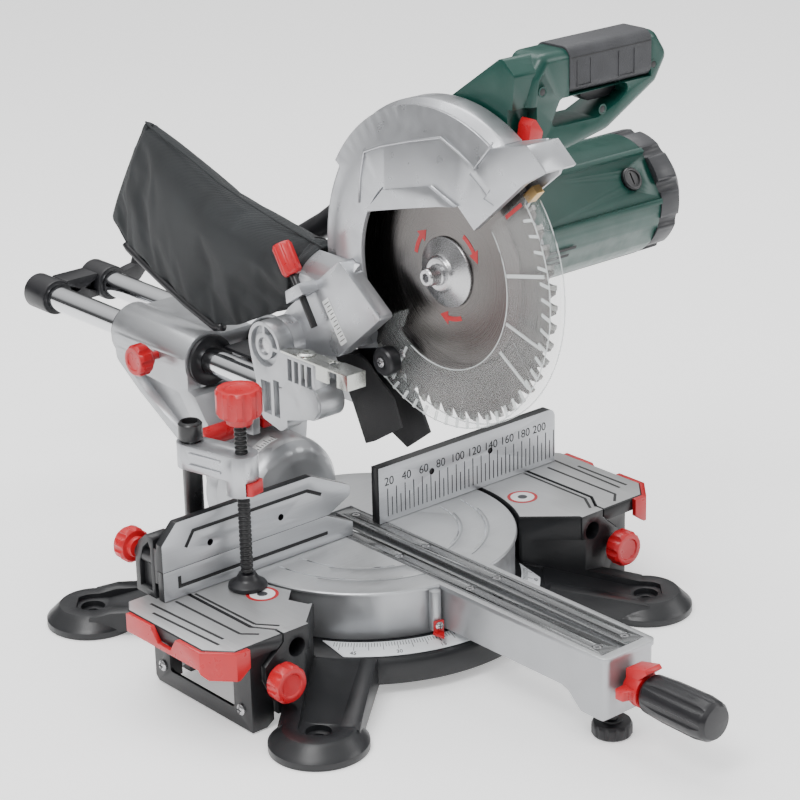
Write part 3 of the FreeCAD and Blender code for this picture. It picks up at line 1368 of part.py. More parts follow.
def motor():
    """Motor housing with two flats, end cap with cooling ribs, brush caps and the armature."""
    left = size("motor_left")
    right = size("motor_right")
    radius = size("motor_radius")
    tube_outline = [("arc", MOTOR, radius, -60, FACET_ANGLE - 24),
                    ("arc", MOTOR, radius - 1, FACET_ANGLE + 26, FACET_ANGLE + 55),
                    ("arc", MOTOR, radius, FACET_ANGLE + 75, 275)]
    tube = pad("motor_tube", "YZ", [tube_outline], left, right - left)
    ledges = []
    for index, angle in enumerate((FACET_ANGLE - 22, FACET_ANGLE + 30), start=1):
        a = polar(MOTOR, radius - 4, angle - 3)
        b = polar(MOTOR, radius + 1.5, angle - 2.5)
        c = polar(MOTOR, radius + 1.5, angle + 2.5)
        d = polar(MOTOR, radius - 4, angle + 3)
        ledges.append(pad(f"motor_ledge_{index}", "YZ", [[a, b, c, d]], left + 14, right - left - 14))
    collar = pad("motor_collar", "YZ", [[("arc", MOTOR, radius + 1.5, 0, 180), ("arc", MOTOR, radius + 1.5, 180, 360)]],
                 left, 16)
    bore = cylinder("motor_bore", "X", (left - 1, *MOTOR), 42, right - left + 2)
    brush_bores = []
    for index, angle in enumerate((FACET_ANGLE + 2, FACET_ANGLE - 178), start=1):
        at = (BRUSH_X, *polar(MOTOR, 38, angle))
        direction = (0, math.cos(math.radians(angle)), math.sin(math.radians(angle)))
        brush_bores.append(cylinder(f"brush_bore_{index}", direction, at, 10.6, 30))
    solid = fuse("motor_solid", [tube, collar] + ledges)
    node("motor_housing", cut("motor_cut", solid, [bore] + brush_bores))
    brush_caps()
    motor_cap()
    rotor = lathe("rotor", "X", (0, *MOTOR), [
        (0, 40), (8.4, 40), (8.4, 51), (6, 51), (6, 96), (34, 98), (34, 180), (20, 182), (20, 206),
        (6, 208), (6, 236), (0, 236),
    ])
    node("motor_rotor", rotor)


BRUSH_X = 205


def brush_caps():
    caps = []
    for index, angle in enumerate((FACET_ANGLE + 2, FACET_ANGLE - 178), start=1):
        reach = 42.5 if index == 1 else 44
        at = (BRUSH_X, *polar(MOTOR, reach, angle))
        direction = (0, math.cos(math.radians(angle)), math.sin(math.radians(angle)))
        turned = lathe(f"brush_cap_{index}", direction, at,
                       [(0, 0), (10.3, 0), (10.3, 8.4), (9, 9.4), (7.4, 9.4), (7, 8), (0, 8)])
        slot = block(f"brush_slot_{index}", (0, 0, 0), (1.6, 11, 4))
        slot.Placement = Placement(Vector(*at), Rotation(Vector(0, 0, 1), Vector(*direction))).multiply(
            Placement(Vector(-0.8, -5.5, 6.6), Rotation())
        )
        caps.append(cut(f"brush_{index}", turned, [slot]))
    node("brush_caps", group("brushes", caps))


def motor_cap():
    left = size("motor_right") + 0.3
    tip = size("motor_tip")
    radius = size("motor_radius")
    cap = lathe("cap_turn", "X", (0, *MOTOR), [
        (0, left + 6), (radius - 6, left + 6), (radius - 6, left), (radius, left), (radius, left + 22),
        (radius - 9, tip - 8), (radius - 14, tip), (18, tip), (16, tip - 3), (0, tip - 3),
    ])
    cap = flute(cap, 10, radius + 1, 5.5)
    bearing = cylinder("cap_bearing_hole", "X", (left - 1, *MOTOR), 6.1, 12)
    node("motor_end_cap", cut("cap_cut", cap, [bearing]))


# ---------------------------------------------------------------- handles and controls

GRIP_LEFT = 72
GRIP_RIGHT = 165


def main_handle():
    """D-shaped handle in front of the motor, with a rubber sleeve, trigger and lock-off."""
    y = size("grip_y")
    half = 19
    frame = [
        (22, 470), (32, 520, 8), (44, 536, 10), (172, 537, 14), (188, 514, 10), (174, 492, 8),
        (118, 462, 14), (66, 452, 6), (40, 446),
    ]
    window = [(50, 476, 4), (62, 498, 5), (150, 499, 5), (128, 484, 6), (104, 475, 4)]
    loop = pad("handle_loop", "XZ", [frame, window], y - half, 2 * half)
    loop = soften("handle_round", loop, 8, lambda edge: is_outer_rim(edge, y, half))
    root_side = [
        (y - 17, 524, 4), (y - 2, 537, 6), (-98, 490, 6), (-92, 452), (-128, 446), (-160, 446), (-176, 474, 4),
    ]
    root = pad("handle_root", "YZ", [root_side], 14, 40)
    sleeve_cut = sleeve("handle_waist", GRIP_LEFT - 0.4, GRIP_RIGHT + 0.4, 0)
    pocket = block("trigger_pocket", (94, y - 8, 490), (44, 16, 30))
    seat = pad("gear_keepout", "YZ", [[(-70, 424), (-100, 470.3), (-140.2, 474.3), (-158.4, 440), (-150, 400), (-80, 400)]],
               11, 59)
    solid = fuse("handle_solid_all", [loop, root])
    lock_slot = block("lock_slot", (13, y - 26, 458), (23, 18, 38))
    node("handle_shell", cut("handle_cut", solid, [sleeve_cut, pocket, seat, lock_slot]))
    inner = block("grip_core", (GRIP_LEFT - 2, y - half + 3.4, 502.4), (GRIP_RIGHT - GRIP_LEFT + 4, 2 * half - 6.8, 31))
    rounded_core = soften("grip_core_round", inner, 6, lambda edge: runs_along(edge, "X"))
    rubber = sleeve("grip_sleeve", GRIP_LEFT, GRIP_RIGHT, 1)
    node("handle_grip", cut("grip_cut", rubber, [rounded_core, block("grip_pocket", (93, y - 9, 480), (46, 18, 30))]))
    controls(y)


def is_outer_rim(edge, y, half):
    """True for the long outer edges on the two faces of the handle's loop."""
    box = edge.BoundBox
    on_face = at_level(edge, "Y", y - half) or at_level(edge, "Y", y + half)
    return on_face and box.ZMax > 500.5 and box.XMin > 30 and box.ZMin > 499.5


def sleeve(name, low, high, proud):
    """The rubber sleeve's outside, or with proud 0 the space that it fills in the handle."""
    y = size("grip_y")
    half = 19
    if proud:
        outer = block(name + "_outer", (low, y - half - 0.8, 499.2), (high - low, 2 * half + 1.6, 38.8))
        return soften(name, outer, 9, lambda edge: runs_along(edge, "X"))
    big = block(name + "_big", (low, y - half - 5, 494), (high - low, 2 * half + 10, 50))
    core = block(name + "_core", (low - 1, y - half + 3.8, 502.8), (high - low + 2, 2 * half - 7.6, 30.2))
    core = soften(name + "_core_round", core, 6, lambda edge: runs_along(edge, "X"))
    below = block(name + "_below", (low - 1, y - half - 6, 490), (high - low + 2, 2 * half + 12, 8.8))
    return cut(name, big, [core, below])


def controls(y):
    paddle = [(96, 492), (96, 507), (136, 507), (136, 492), (128, 487, 4), (104, 487, 4)]
    node("trigger", pad("trigger_pad", "XZ", [paddle], y - 7, 14))
    lever = [(17, 465), (21, 485, 2), (25, 491, 2), (34, 478, 2), (30, 463, 2)]
    node("lock_off_lever", pad("lock_pad", "XZ", [lever], y - 28, 14))


def carry_handle():
    """Black arched bar over the back of the head, above the pivot."""
    route = [(-46, 430), (8, 396), (82, 344), (136, 312), (140, 284), (112, 262), (66, 256)]
    bend = 24
    points = [Vector(31, y, z) for y, z in route]
    edges = []
    start = points[0]
    for before, here, after in zip(points, points[1:], points[2:]):
        back = (before - here).normalize()
        ahead = (after - here).normalize()
        half = back.getAngle(ahead) / 2
        reach = min(bend / math.tan(half), 0.48 * min(before.distanceToPoint(here), after.distanceToPoint(here)))
        radius = reach * math.tan(half)
        first = here + back * reach
        last = here + ahead * reach
        middle = here + (back + ahead).normalize() * (radius / math.sin(half) - radius)
        if start.distanceToPoint(first) > 1e-6:
            edges.append(Part.LineSegment(start, first).toShape())
        edges.append(Part.Arc(first, middle, last).toShape())
        start = last
    edges.append(Part.LineSegment(start, points[-1]).toShape())
    path = Part.Wire(edges)
    direction = (points[1] - points[0]).normalize()
    section = Part.Wire(Part.Circle(points[0], direction, 11.5).toShape())
    item = doc.addObject("Part::Feature", "carry_bar")
    item.Shape = path.makePipeShell([section], True, False)
    foot = block("carry_foot", (20, -55, 417), (20, 22, 18))
    clear = [
        cylinder("carry_guard_clear", "X", (0, *BLADE), 40, 60),
        cylinder("carry_barrel_clear", "X", (10, *PIVOT), "eye_radius + 0.5", 60),
        pad("carry_arm_clear", "YZ", [[(-80, 306), (-14, 250), (74, 240), (76, 280), (46, 302), (16, 326), (-18, 352)]],
            10, 28.4),
    ]
    node("carry_handle", cut("carry_cut", fuse("carry_solid", [item, foot]), clear))


def dust_bag():
    """Plain closed body of the cloth bag, slipped over the dust port."""
    outline = [
        (62, 287, 5), (134, 254, 10), (155, 247, 8), (301, 311, 10), (316, 326, 8), (285, 368, 10),
        (252, 416, 8), (224, 415, 10), (113, 377, 10), (62, 360, 10), (34, 346, 6), (38, 312),
    ]
    side = pad("bag_side", "YZ", [outline], -46, 58)
    plan = [(-34, 30), (-36, 60), (-46, 110, 20), (-42, 330), (8, 330), (12, 110, 20), (4, 60), (2, 30)]
    spread = pad("bag_plan", "XY", [plan], 200, 260)
    body = common("bag_body", [side, spread])
    port = cylinder("bag_port", "Y", ("port_x", 0, "port_z"), "port_radius + 0.4", 62.6)
    node("dust_bag", cut("bag_cut", body, [port]))


def dust_chute():
    """Black rubber flaps that lead the chips from the blade into the port."""
    flap = [(18, 248), (-3, 211), (-20, 176), (-31, 181), (-68, 204), (-58, 228), (-30, 250), (-14, 257)]
    left = pad("chute_left", "YZ", [flap], -15, 2.5)
    right_flap = [(18, 248), (4, 214), (-10, 190), (-48, 174), (-78, 196), (-62, 226), (-30, 250), (-14, 257)]
    right = pad("chute_right", "YZ", [right_flap], 8.2, 2.5)
    back = pad("chute_back", "YZ", [[(18, 248), (-3, 211), (-6, 213), (14, 249)]], -15, 25.7)
    clear = cylinder("chute_clear", "X", (-30, *BLADE), "cover_radius + 3", 60)
    guard_clear = sector("chute_guard", GUARD_FROM - 2, 90, -30, 30)
    guard_disc = cylinder("chute_disc", "X", (-30, *BLADE), "guard_radius + 0.4", 60)
    keep = common("chute_guard_room", [guard_clear, guard_disc])
    solid = fuse("chute_solid", [left, right, back])
    node("dust_chute", cut("chute_cut", solid, [clear, keep]))


# ---------------------------------------------------------------- build and export

def export():
    doc.recompute()
    for item in doc.Objects:
        if "Invalid" in item.State or "Error" in item.State:
            raise RuntimeError(f"{item.Name} ({item.Label}) failed: {item.State}")
    for item in nodes:
        shape = item.Shape
        if shape.isNull() or not shape.isValid() or not shape.Solids:
            raise RuntimeError(f"{item.Label} has no valid solid")
        shape.exportStep(f"parts/{item.Label}.step")
        box = shape.BoundBox
        print(
            f"{item.Label:24s} solids {len(shape.Solids):2d} volume {shape.Volume / 1000:9.1f} cm3 "
            f"X {box.XMin:7.1f} {box.XMax:7.1f} Y {box.YMin:7.1f} {box.YMax:7.1f} "
            f"Z {box.ZMin:7.1f} {box.ZMax:7.1f}"
        )
    print(len(nodes), "nodes")


base_casting()
mitre_scale()
extensions()
extension_knobs()
right_fence()
left_fence()
fence_lock()
clamp()
turntable()
kerf_plates()
levelling_foot()
mitre_handle()
bevel_arm()
linear_bearings()
bevel_details()
slide_rails()
front_bracket()
stop_plate()
rear_bracket()
pivot()
head_arm()
depth_stop()
upper_guard()
lower_guard()
blade_set()
gearbox()
motor()
main_handle()
carry_handle()
dust_bag()
dust_chute()
export()
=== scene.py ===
import json
import math

import bpy
from mathutils import Matrix, Vector


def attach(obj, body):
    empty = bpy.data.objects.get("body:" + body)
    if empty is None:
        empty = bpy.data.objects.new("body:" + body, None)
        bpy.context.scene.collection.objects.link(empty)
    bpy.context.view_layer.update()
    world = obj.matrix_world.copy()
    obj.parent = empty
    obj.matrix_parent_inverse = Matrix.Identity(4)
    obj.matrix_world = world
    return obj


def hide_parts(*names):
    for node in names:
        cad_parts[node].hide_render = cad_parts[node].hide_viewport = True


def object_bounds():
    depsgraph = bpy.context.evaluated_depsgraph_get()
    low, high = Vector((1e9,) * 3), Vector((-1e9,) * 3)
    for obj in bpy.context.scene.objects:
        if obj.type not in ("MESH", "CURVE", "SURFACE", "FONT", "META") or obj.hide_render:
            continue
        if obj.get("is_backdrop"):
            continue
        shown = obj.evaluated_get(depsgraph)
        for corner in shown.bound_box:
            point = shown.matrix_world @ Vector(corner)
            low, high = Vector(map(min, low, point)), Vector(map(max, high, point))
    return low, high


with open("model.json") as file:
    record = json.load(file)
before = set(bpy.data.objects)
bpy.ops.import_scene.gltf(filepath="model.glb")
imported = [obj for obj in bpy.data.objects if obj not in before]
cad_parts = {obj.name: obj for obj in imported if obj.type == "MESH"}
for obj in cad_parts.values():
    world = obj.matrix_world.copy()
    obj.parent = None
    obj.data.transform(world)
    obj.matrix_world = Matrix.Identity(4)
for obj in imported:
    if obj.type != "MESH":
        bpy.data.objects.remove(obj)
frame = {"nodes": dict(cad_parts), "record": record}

# Looks of the sliding mitre saw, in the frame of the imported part: X to the operator's right,
# Y to the back, Z up from the bench. Shapes are written in millimetres and scaled by MM.

MM = 0.001
BLADE_Y = -116
BLADE_Z = 352
MOTOR_Y = -83
MOTOR_Z = 364
MOTOR_RADIUS = 54.0
GUARD_FACE = -22.3
COVER_NEAR = -10
COVER_FAR = 5.5
COVER_MARKS = -10.1
NODES = frame["nodes"]
RECORD = frame["record"]


def save_bounds(key, store={}):
    """Keeps the shown object's corners before and after dressing it."""
    low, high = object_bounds()
    store[key] = [list(low), list(high)]


save_bounds("loaded")


# ---------------------------------------------------------------- materials

class Recipe:
    """A material under construction: its node tree, its surface shader and small helpers."""

    def __init__(self, name, color, roughness, metallic=0.0):
        self.material = bpy.data.materials.new(name)
        self.material.use_nodes = True
        self.tree = self.material.node_tree
        self.shader = self.tree.nodes["Principled BSDF"]
        self.shader.inputs["Base Color"].default_value = (*color, 1)
        self.shader.inputs["Roughness"].default_value = roughness
        self.shader.inputs["Metallic"].default_value = metallic
        self.height = None
        self.place = self.tree.nodes.new("ShaderNodeTexCoord").outputs["Object"]

    def node(self, kind, **values):
        item = self.tree.nodes.new(kind)
        for key, value in values.items():
            if key in item.inputs:
                item.inputs[key].default_value = value
            else:
                setattr(item, key, value)
        return item

    def link(self, source, target):
        self.tree.links.new(source, target)

    def stretched(self, scale):
        """Object coordinates scaled differently along each axis."""
        mapping = self.node("ShaderNodeMapping")
        mapping.inputs["Scale"].default_value = scale
        self.link(self.place, mapping.inputs["Vector"])
        return mapping.outputs["Vector"]

    def noise(self, scale, detail=4.0, vector=None):
        item = self.node("ShaderNodeTexNoise")
        item.inputs["Scale"].default_value = scale
        item.inputs["Detail"].default_value = detail
        self.link(vector or self.place, item.inputs["Vector"])
        return item.outputs["Fac"]

    def spread(self, value, low, high):
        """Maps a 0.3 to 0.7 noise value onto a range."""
        item = self.node("ShaderNodeMapRange")
        item.inputs["From Min"].default_value = 0.3
        item.inputs["From Max"].default_value = 0.7
        item.inputs["To Min"].default_value = low
        item.inputs["To Max"].default_value = high
        self.link(value, item.inputs["Value"])
        return item.outputs["Result"]

    def vary_color(self, fac, first, second):
        item = self.node("ShaderNodeMix", data_type="RGBA")
        item.inputs[6].default_value = (*first, 1)
        item.inputs[7].default_value = (*second, 1)
        self.link(fac, item.inputs[0])
        self.link(item.outputs[2], self.shader.inputs["Base Color"])
        return self

    def vary_roughness(self, fac, low, high):
        self.link(self.spread(fac, low, high), self.shader.inputs["Roughness"])
        return self

    def bump(self, height, distance, strength=0.5):
        item = self.node("ShaderNodeBump")
        item.inputs["Strength"].default_value = strength
        item.inputs["Distance"].default_value = distance
        self.link(height, item.inputs["Height"])
        self.link(item.outputs["Normal"], self.shader.inputs["Normal"])
        return self


def powder_coat(name, color, roughness=0.42):
    """Satin paint with a fine orange-peel texture and slightly uneven gloss."""
    recipe = Recipe(name, color, roughness)
    broad = recipe.noise(25, 3)
    lighter = tuple(min(1, part * 1.25 + 0.003) for part in color)
    recipe.vary_color(recipe.spread(broad, 0, 1), color, lighter)
    recipe.vary_roughness(broad, roughness - 0.06, roughness + 0.08)
    recipe.bump(recipe.noise(900, 2), 0.0002, 0.35)
    return recipe.material


def silver_lacquer(name, color, roughness=0.36):
    """Metallic silver paint over a casting."""
    recipe = Recipe(name, color, roughness, 0.72)
    broad = recipe.noise(14, 4)
    darker = tuple(part * 0.95 for part in color)
    recipe.vary_color(recipe.spread(broad, 0, 1), darker, color)
    recipe.vary_roughness(recipe.noise(60, 3), roughness - 0.05, roughness + 0.08)
    recipe.bump(recipe.noise(1800, 2), 0.00008, 0.2)
    return recipe.material


def brushed_metal(name, color, grain, roughness=0.3, metallic=0.9):
    """Machined metal, its marks drawn out along one axis."""
    recipe = Recipe(name, color, roughness, metallic)
    lines = recipe.noise(1, 5, recipe.stretched(grain))
    darker = tuple(part * 0.9 for part in color)
    recipe.vary_color(recipe.spread(lines, 0, 1), darker, color)
    recipe.vary_roughness(lines, roughness - 0.04, roughness + 0.08)
    recipe.bump(lines, 0.00005, 0.2)
    return recipe.material


def moulded_plastic(name, color, roughness=0.38, texture=700):
    recipe = Recipe(name, color, roughness)
    broad = recipe.noise(40, 2)
    lighter = tuple(min(1, part * 1.12 + 0.002) for part in color)
    recipe.vary_color(recipe.spread(broad, 0, 1), color, lighter)
    recipe.vary_roughness(recipe.noise(90, 3), roughness - 0.04, roughness + 0.07)
    recipe.bump(recipe.noise(texture, 2), 0.00012, 0.3)
    return recipe.material


def soft_rubber(name, color):
    recipe = Recipe(name, color, 0.62)
    grain = recipe.node("ShaderNodeTexVoronoi")
    grain.inputs["Scale"].default_value = 900
    recipe.link(recipe.place, grain.inputs["Vector"])
    recipe.bump(grain.outputs["Distance"], 0.0003, 0.45)
    lighter = tuple(part * 1.3 for part in color)
    recipe.vary_color(recipe.spread(recipe.noise(60, 3), 0, 1), color, lighter)
    return recipe.material


def woven_cloth(name, color):
    """Nylon cloth: two crossed sets of fine threads."""
    recipe = Recipe(name, color, 0.78)
    recipe.shader.inputs["Sheen Weight"].default_value = 0.08
    recipe.shader.inputs["Sheen Roughness"].default_value = 0.4
    waves = []
    for axis in ("Y", "Z"):
        wave = recipe.node("ShaderNodeTexWave", bands_direction=axis)
        wave.inputs["Scale"].default_value = 320
        wave.inputs["Distortion"].default_value = 0.6
        recipe.link(recipe.place, wave.inputs["Vector"])
        waves.append(wave.outputs["Fac"])
    weave = recipe.node("ShaderNodeMath", operation="MAXIMUM")
    recipe.link(waves[0], weave.inputs[0])
    recipe.link(waves[1], weave.inputs[1])
    folds = recipe.noise(16, 3, recipe.stretched((1, 0.6, 1.6)))
    total = recipe.node("ShaderNodeMath", operation="MULTIPLY_ADD")
    recipe.link(folds, total.inputs[0])
    total.inputs[1].default_value = 6.0
    recipe.link(weave.outputs[0], total.inputs[2])
    recipe.bump(total.outputs[0], 0.0006, 0.6)
    lighter = tuple(part * 1.6 for part in color)
    recipe.vary_color(recipe.spread(recipe.noise(20, 4), 0, 1), color, lighter)
    return recipe.material


def clear_plastic(name, opacity):
    """Thin clear plastic: mostly see-through, with its gloss on top."""
    recipe = Recipe(name, (0.78, 0.82, 0.82), 0.08)
    recipe.shader.inputs["Alpha"].default_value = opacity
    recipe.shader.inputs["Specular IOR Level"].default_value = 0.9
    recipe.shader.inputs["Coat Weight"].default_value = 0.6
    recipe.shader.inputs["Coat Roughness"].default_value = 0.05
    recipe.vary_roughness(recipe.noise(30, 4), 0.05, 0.16)
    recipe.bump(recipe.noise(45, 2), 0.0003, 0.25)
    return recipe.material


def polished_steel(name, color, roughness=0.08):
    recipe = Recipe(name, color, roughness, 1.0)
    lines = recipe.noise(1, 3, recipe.stretched((900, 8, 900)))
    recipe.vary_roughness(lines, roughness, roughness + 0.06)
    recipe.bump(lines, 0.00003, 0.1)
    return recipe.material


def spun_blade(name, color):
    """Ground steel whose marks run in circles round the arbor."""
    recipe = Recipe(name, color, 0.3, 1.0)
    shift = recipe.node("ShaderNodeVectorMath", operation="SUBTRACT")
    shift.inputs[1].default_value = (0, BLADE_Y * MM, BLADE_Z * MM)
    recipe.link(recipe.place, shift.inputs[0])
    length = recipe.node("ShaderNodeVectorMath", operation="LENGTH")
    recipe.link(shift.outputs["Vector"], length.inputs[0])
    ring = recipe.node("ShaderNodeCombineXYZ")
    recipe.link(length.outputs["Value"], ring.inputs[0])
    lines = recipe.noise(1600, 4, ring.outputs[0])
    darker = tuple(part * 0.82 for part in color)
    recipe.vary_color(recipe.spread(lines, 0, 1), darker, color)
    recipe.vary_roughness(lines, 0.2, 0.34)
    recipe.bump(lines, 0.00008, 0.3)
    recipe.shader.inputs["Anisotropic"].default_value = 0.85
    tangent = recipe.node("ShaderNodeTangent", direction_type="RADIAL", axis="X")
    recipe.link(tangent.outputs[0], recipe.shader.inputs["Tangent"])
    return recipe.material


BLACK = (0.007, 0.0075, 0.009)
SILVER = (0.47, 0.48, 0.50)
RED = (0.47, 0.008, 0.014)
GREEN = (0.0015, 0.043, 0.032)
GREY = (0.034, 0.035, 0.039)

LOOKS = {
    "black_casting": powder_coat("black_coat", BLACK, 0.36),
    "scale_plate": powder_coat("scale_plate_white", (0.62, 0.64, 0.66), 0.4),
    "machined_aluminium": brushed_metal("fence_metal", (0.55, 0.565, 0.59), (20, 900, 1400), 0.36, 0.6),
    "cast_aluminium": silver_lacquer("cast_silver", (0.44, 0.45, 0.465), 0.34),
    "silver_paint": silver_lacquer("head_silver", SILVER, 0.31),
    "steel": brushed_metal("turned_steel", (0.52, 0.52, 0.53), (1500, 1500, 1500), 0.24),
    "black_steel": powder_coat("black_steel", (0.009, 0.009, 0.01), 0.3),
    "blade_steel": spun_blade("blade_steel", (0.17, 0.16, 0.155)),
    "zinc_steel": brushed_metal("zinc", (0.52, 0.53, 0.50), (900, 900, 900), 0.2),
    "chrome": polished_steel("chrome", (0.66, 0.67, 0.69)),
    "red_plastic": moulded_plastic("red_plastic", RED, 0.3),
    "black_plastic": moulded_plastic("black_plastic", (0.008, 0.008, 0.01), 0.36),
    "grey_plastic": moulded_plastic("grey_plastic", (0.032, 0.033, 0.037), 0.4),
    "green_plastic": moulded_plastic("green_plastic", GREEN, 0.33),
    "grey_rubber": soft_rubber("grey_rubber", GREY),
    "black_rubber": soft_rubber("black_rubber", (0.008, 0.008, 0.009)),
    "black_fabric": woven_cloth("bag_cloth", (0.009, 0.011, 0.0125)),
    "clear_plastic": clear_plastic("clear_plastic", 0.06),
}
TABLE_METAL = brushed_metal("table_metal", (0.54, 0.545, 0.55), (900, 25, 900), 0.34, 0.65)
TURNED_METAL = brushed_metal("turntable_metal", (0.58, 0.59, 0.60), (25, 1100, 900), 0.33, 0.62)
PLATE_METAL = silver_lacquer("kerf_plate_metal", (0.27, 0.275, 0.28), 0.24)
# Same clear plastic made far more opaque: a painted highlight along the clear guard's edges.
CLEAR_EDGE_HIGHLIGHT = clear_plastic("clear_edge_highlight", 0.5)
# Dark print for scales and numbers, also used for grooves, bolts and seams; in the screws' cross recesses
# and the motor's vent recess it is painted shade.
INK_AND_SHADE = powder_coat("print_and_painted_shade", (0.012, 0.012, 0.013), 0.5)
LABEL_WHITE = powder_coat("label_white", (0.66, 0.67, 0.67), 0.45)
LABEL_RED = moulded_plastic("label_red", (0.42, 0.008, 0.014), 0.4)
BRASS = brushed_metal("brass", (0.58, 0.38, 0.16), (200, 200, 200), 0.3)
CARBIDE = brushed_metal("carbide", (0.30, 0.30, 0.29), (500, 500, 500), 0.3)


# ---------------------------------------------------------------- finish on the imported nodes

def dress(node, slot):
    """Puts the slot's material on a node and softens its sharp edges a little."""
    item = NODES[node]
    item.data.materials.clear()
    item.data.materials.append(LOOKS[slot])
    for polygon in item.data.polygons:
        polygon.use_smooth = True
        polygon.material_index = 0
    weld = item.modifiers.new("weld", "WELD")
    weld.merge_threshold = 0.00001
    if node in SHARP_NODES:
        split = item.modifiers.new("split", "EDGE_SPLIT")
        split.split_angle = math.radians(30)
        return item
    bevel = item.modifiers.new("soft_edges", "BEVEL")
    bevel.width = 0.0005
    bevel.segments = 2
    bevel.limit_method = "ANGLE"
    bevel.angle_limit = math.radians(32)
    bevel.harden_normals = True
    return item


SHARP_NODES = {"saw_blade", "clamp_spindle", "return_spring", "kerf_plate_screws", "slide_rails"}


def face_paint(node, material, test):
    """Gives another material to the faces that test(centre, normal) picks."""
    item = NODES[node]
    item.data.materials.append(material)
    index = len(item.data.materials) - 1
    for polygon in item.data.polygons:
        if test(polygon.center, polygon.normal):
            polygon.material_index = index


def dress_all():
    for entry in RECORD["subparts"]:
        dress(entry["node"], entry["material_slot"])

    def on_table(centre, normal):
        return centre.z > 0.0826 and normal.z > 0.9

    def in_groove(centre, normal):
        return 0.0003 < centre.y < 0.0008 and normal.y < -0.9

    def off_working_face(centre, normal):
        return normal.y > -0.6

    for node in ("base_casting", "left_extension_table", "right_extension_table"):
        face_paint(node, TABLE_METAL, on_table)
    face_paint("turntable", TURNED_METAL, on_table)
    face_paint("kerf_plates", PLATE_METAL, lambda centre, normal: True)
    for node in ("right_fence", "left_fence_base", "left_fence_slide"):
        face_paint(node, LOOKS["black_casting"], off_working_face)
    for node in ("left_fence_base", "left_fence_slide"):
        face_paint(node, INK_AND_SHADE, in_groove)


dress_all()


# ---------------------------------------------------------------- small pieces

def own(item, body):
    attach(item, body)
    return item


def add_mesh(name, points, faces, material, body, smooth=False):
    """A new mesh object from points in metres, carried by one body of the part."""
    mesh = bpy.data.meshes.new(name)
    mesh.from_pydata([tuple(p) for p in points], [], faces)
    mesh.validate()
    mesh.update()
    item = bpy.data.objects.new(name, mesh)
    bpy.context.scene.collection.objects.link(item)
    mesh.materials.append(material)
    if smooth:
        for polygon in mesh.polygons:
            polygon.use_smooth = True
    return own(item, body)


def soft_bevel(item, width=0.0004):
    bevel = item.modifiers.new("soft_edges", "BEVEL")
    bevel.width = width
    bevel.segments = 2
    bevel.limit_method = "ANGLE"
    return item


def slab(outline, push):
    """Points and faces of a flat outline thickened along a vector."""
    count = len(outline)
    points = [Vector(p) for p in outline]
    points += [p + Vector(push) for p in points]
    faces = [tuple(reversed(range(count))), tuple(range(count, 2 * count))]
    for index in range(count):
        after = (index + 1) % count
        faces.append((index, after, count + after, count + index))
    return points, faces


def flat_piece(name, outline, push, material, body):
    """A thin plate from an outline in millimetres."""
    scaled = [Vector(p) * MM for p in outline]
    points, faces = slab(scaled, Vector(push) * MM)
    return add_mesh(name, points, faces, material, body)


def many_slabs(name, outlines, push, material, body):
    """Many small flat marks in one mesh."""
    points = []
    faces = []
    for outline in outlines:
        start = len(points)
        new_points, new_faces = slab([Vector(p) * MM for p in outline], Vector(push) * MM)
        points += new_points
        faces += [tuple(start + index for index in face) for face in new_faces]
    return add_mesh(name, points, faces, material, body)


def spot_round(x, radius, degrees):
    """A point in millimetres at an angle round the blade's axis."""
    angle = math.radians(degrees)
    return (x, BLADE_Y + radius * math.cos(angle), BLADE_Z + radius * math.sin(angle))


def line_mark(a, b, width, across):
    """Four corners of a straight stroke from a to b, widened along a direction."""
    side = Vector(across).normalized() * (width / 2)
    a = Vector(a)
    b = Vector(b)
    return [a - side, b - side, b + side, a + side]


def basis(axis):
    """Two directions square to an axis."""
    axis = Vector(axis).normalized()
    helper = Vector((0, 0, 1)) if abs(axis.z) < 0.9 else Vector((0, 1, 0))
    first = helper.cross(axis).normalized()
    return first, axis.cross(first)


def turned_piece(name, centre, axis, profile, material, body, steps=32):
    """A piece turned about an axis from (radius, height) pairs in millimetres."""
    first, second = basis(axis)
    axis = Vector(axis).normalized()
    centre = Vector(centre)
    points = []
    faces = []
    for radius, height in profile:
        for step in range(steps):
            angle = 2 * math.pi * step / steps
            ray = first * math.cos(angle) + second * math.sin(angle)
            points.append((centre + axis * height + ray * radius) * MM)
    for row in range(len(profile) - 1):
        for step in range(steps):
            after = (step + 1) % steps
            low = row * steps
            high = low + steps
            faces.append((low + step, low + after, high + after, high + step))
    faces.append(tuple(reversed(range(steps))))
    faces.append(tuple(range((len(profile) - 1) * steps, len(profile) * steps)))
    item = add_mesh(name, points, faces, material, body, smooth=True)
    split = item.modifiers.new("split", "EDGE_SPLIT")
    split.split_angle = math.radians(35)
    return item


def cross_screw(name, centre, axis, radius, body, material=None):
    """Pan head sitting on a surface, with its cross recess drawn as dark strips: painted shade."""
    metal = material or LOOKS["steel"]
    profile = [
        (radius, 0), (radius, radius * 0.25), (radius * 0.7, radius * 0.5), (radius * 0.3, radius * 0.56),
    ]
    turned_piece(name, centre, axis, profile, metal, body, 24)
    first, second = basis(axis)
    top = Vector(centre) + Vector(axis).normalized() * radius * 0.5
    # The cross recess: dark strips on the head, painted shade where the recess lies in shadow.
    marks = []
    for along, across in ((first, second), (second, first)):
        start = top - along * radius * 0.55
        end = top + along * radius * 0.55
        marks.append(line_mark(start, end, radius * 0.2, across))
    push = Vector(axis).normalized() * (radius * 0.1)
    many_slabs(name + "_cross", marks, push, INK_AND_SHADE, body)


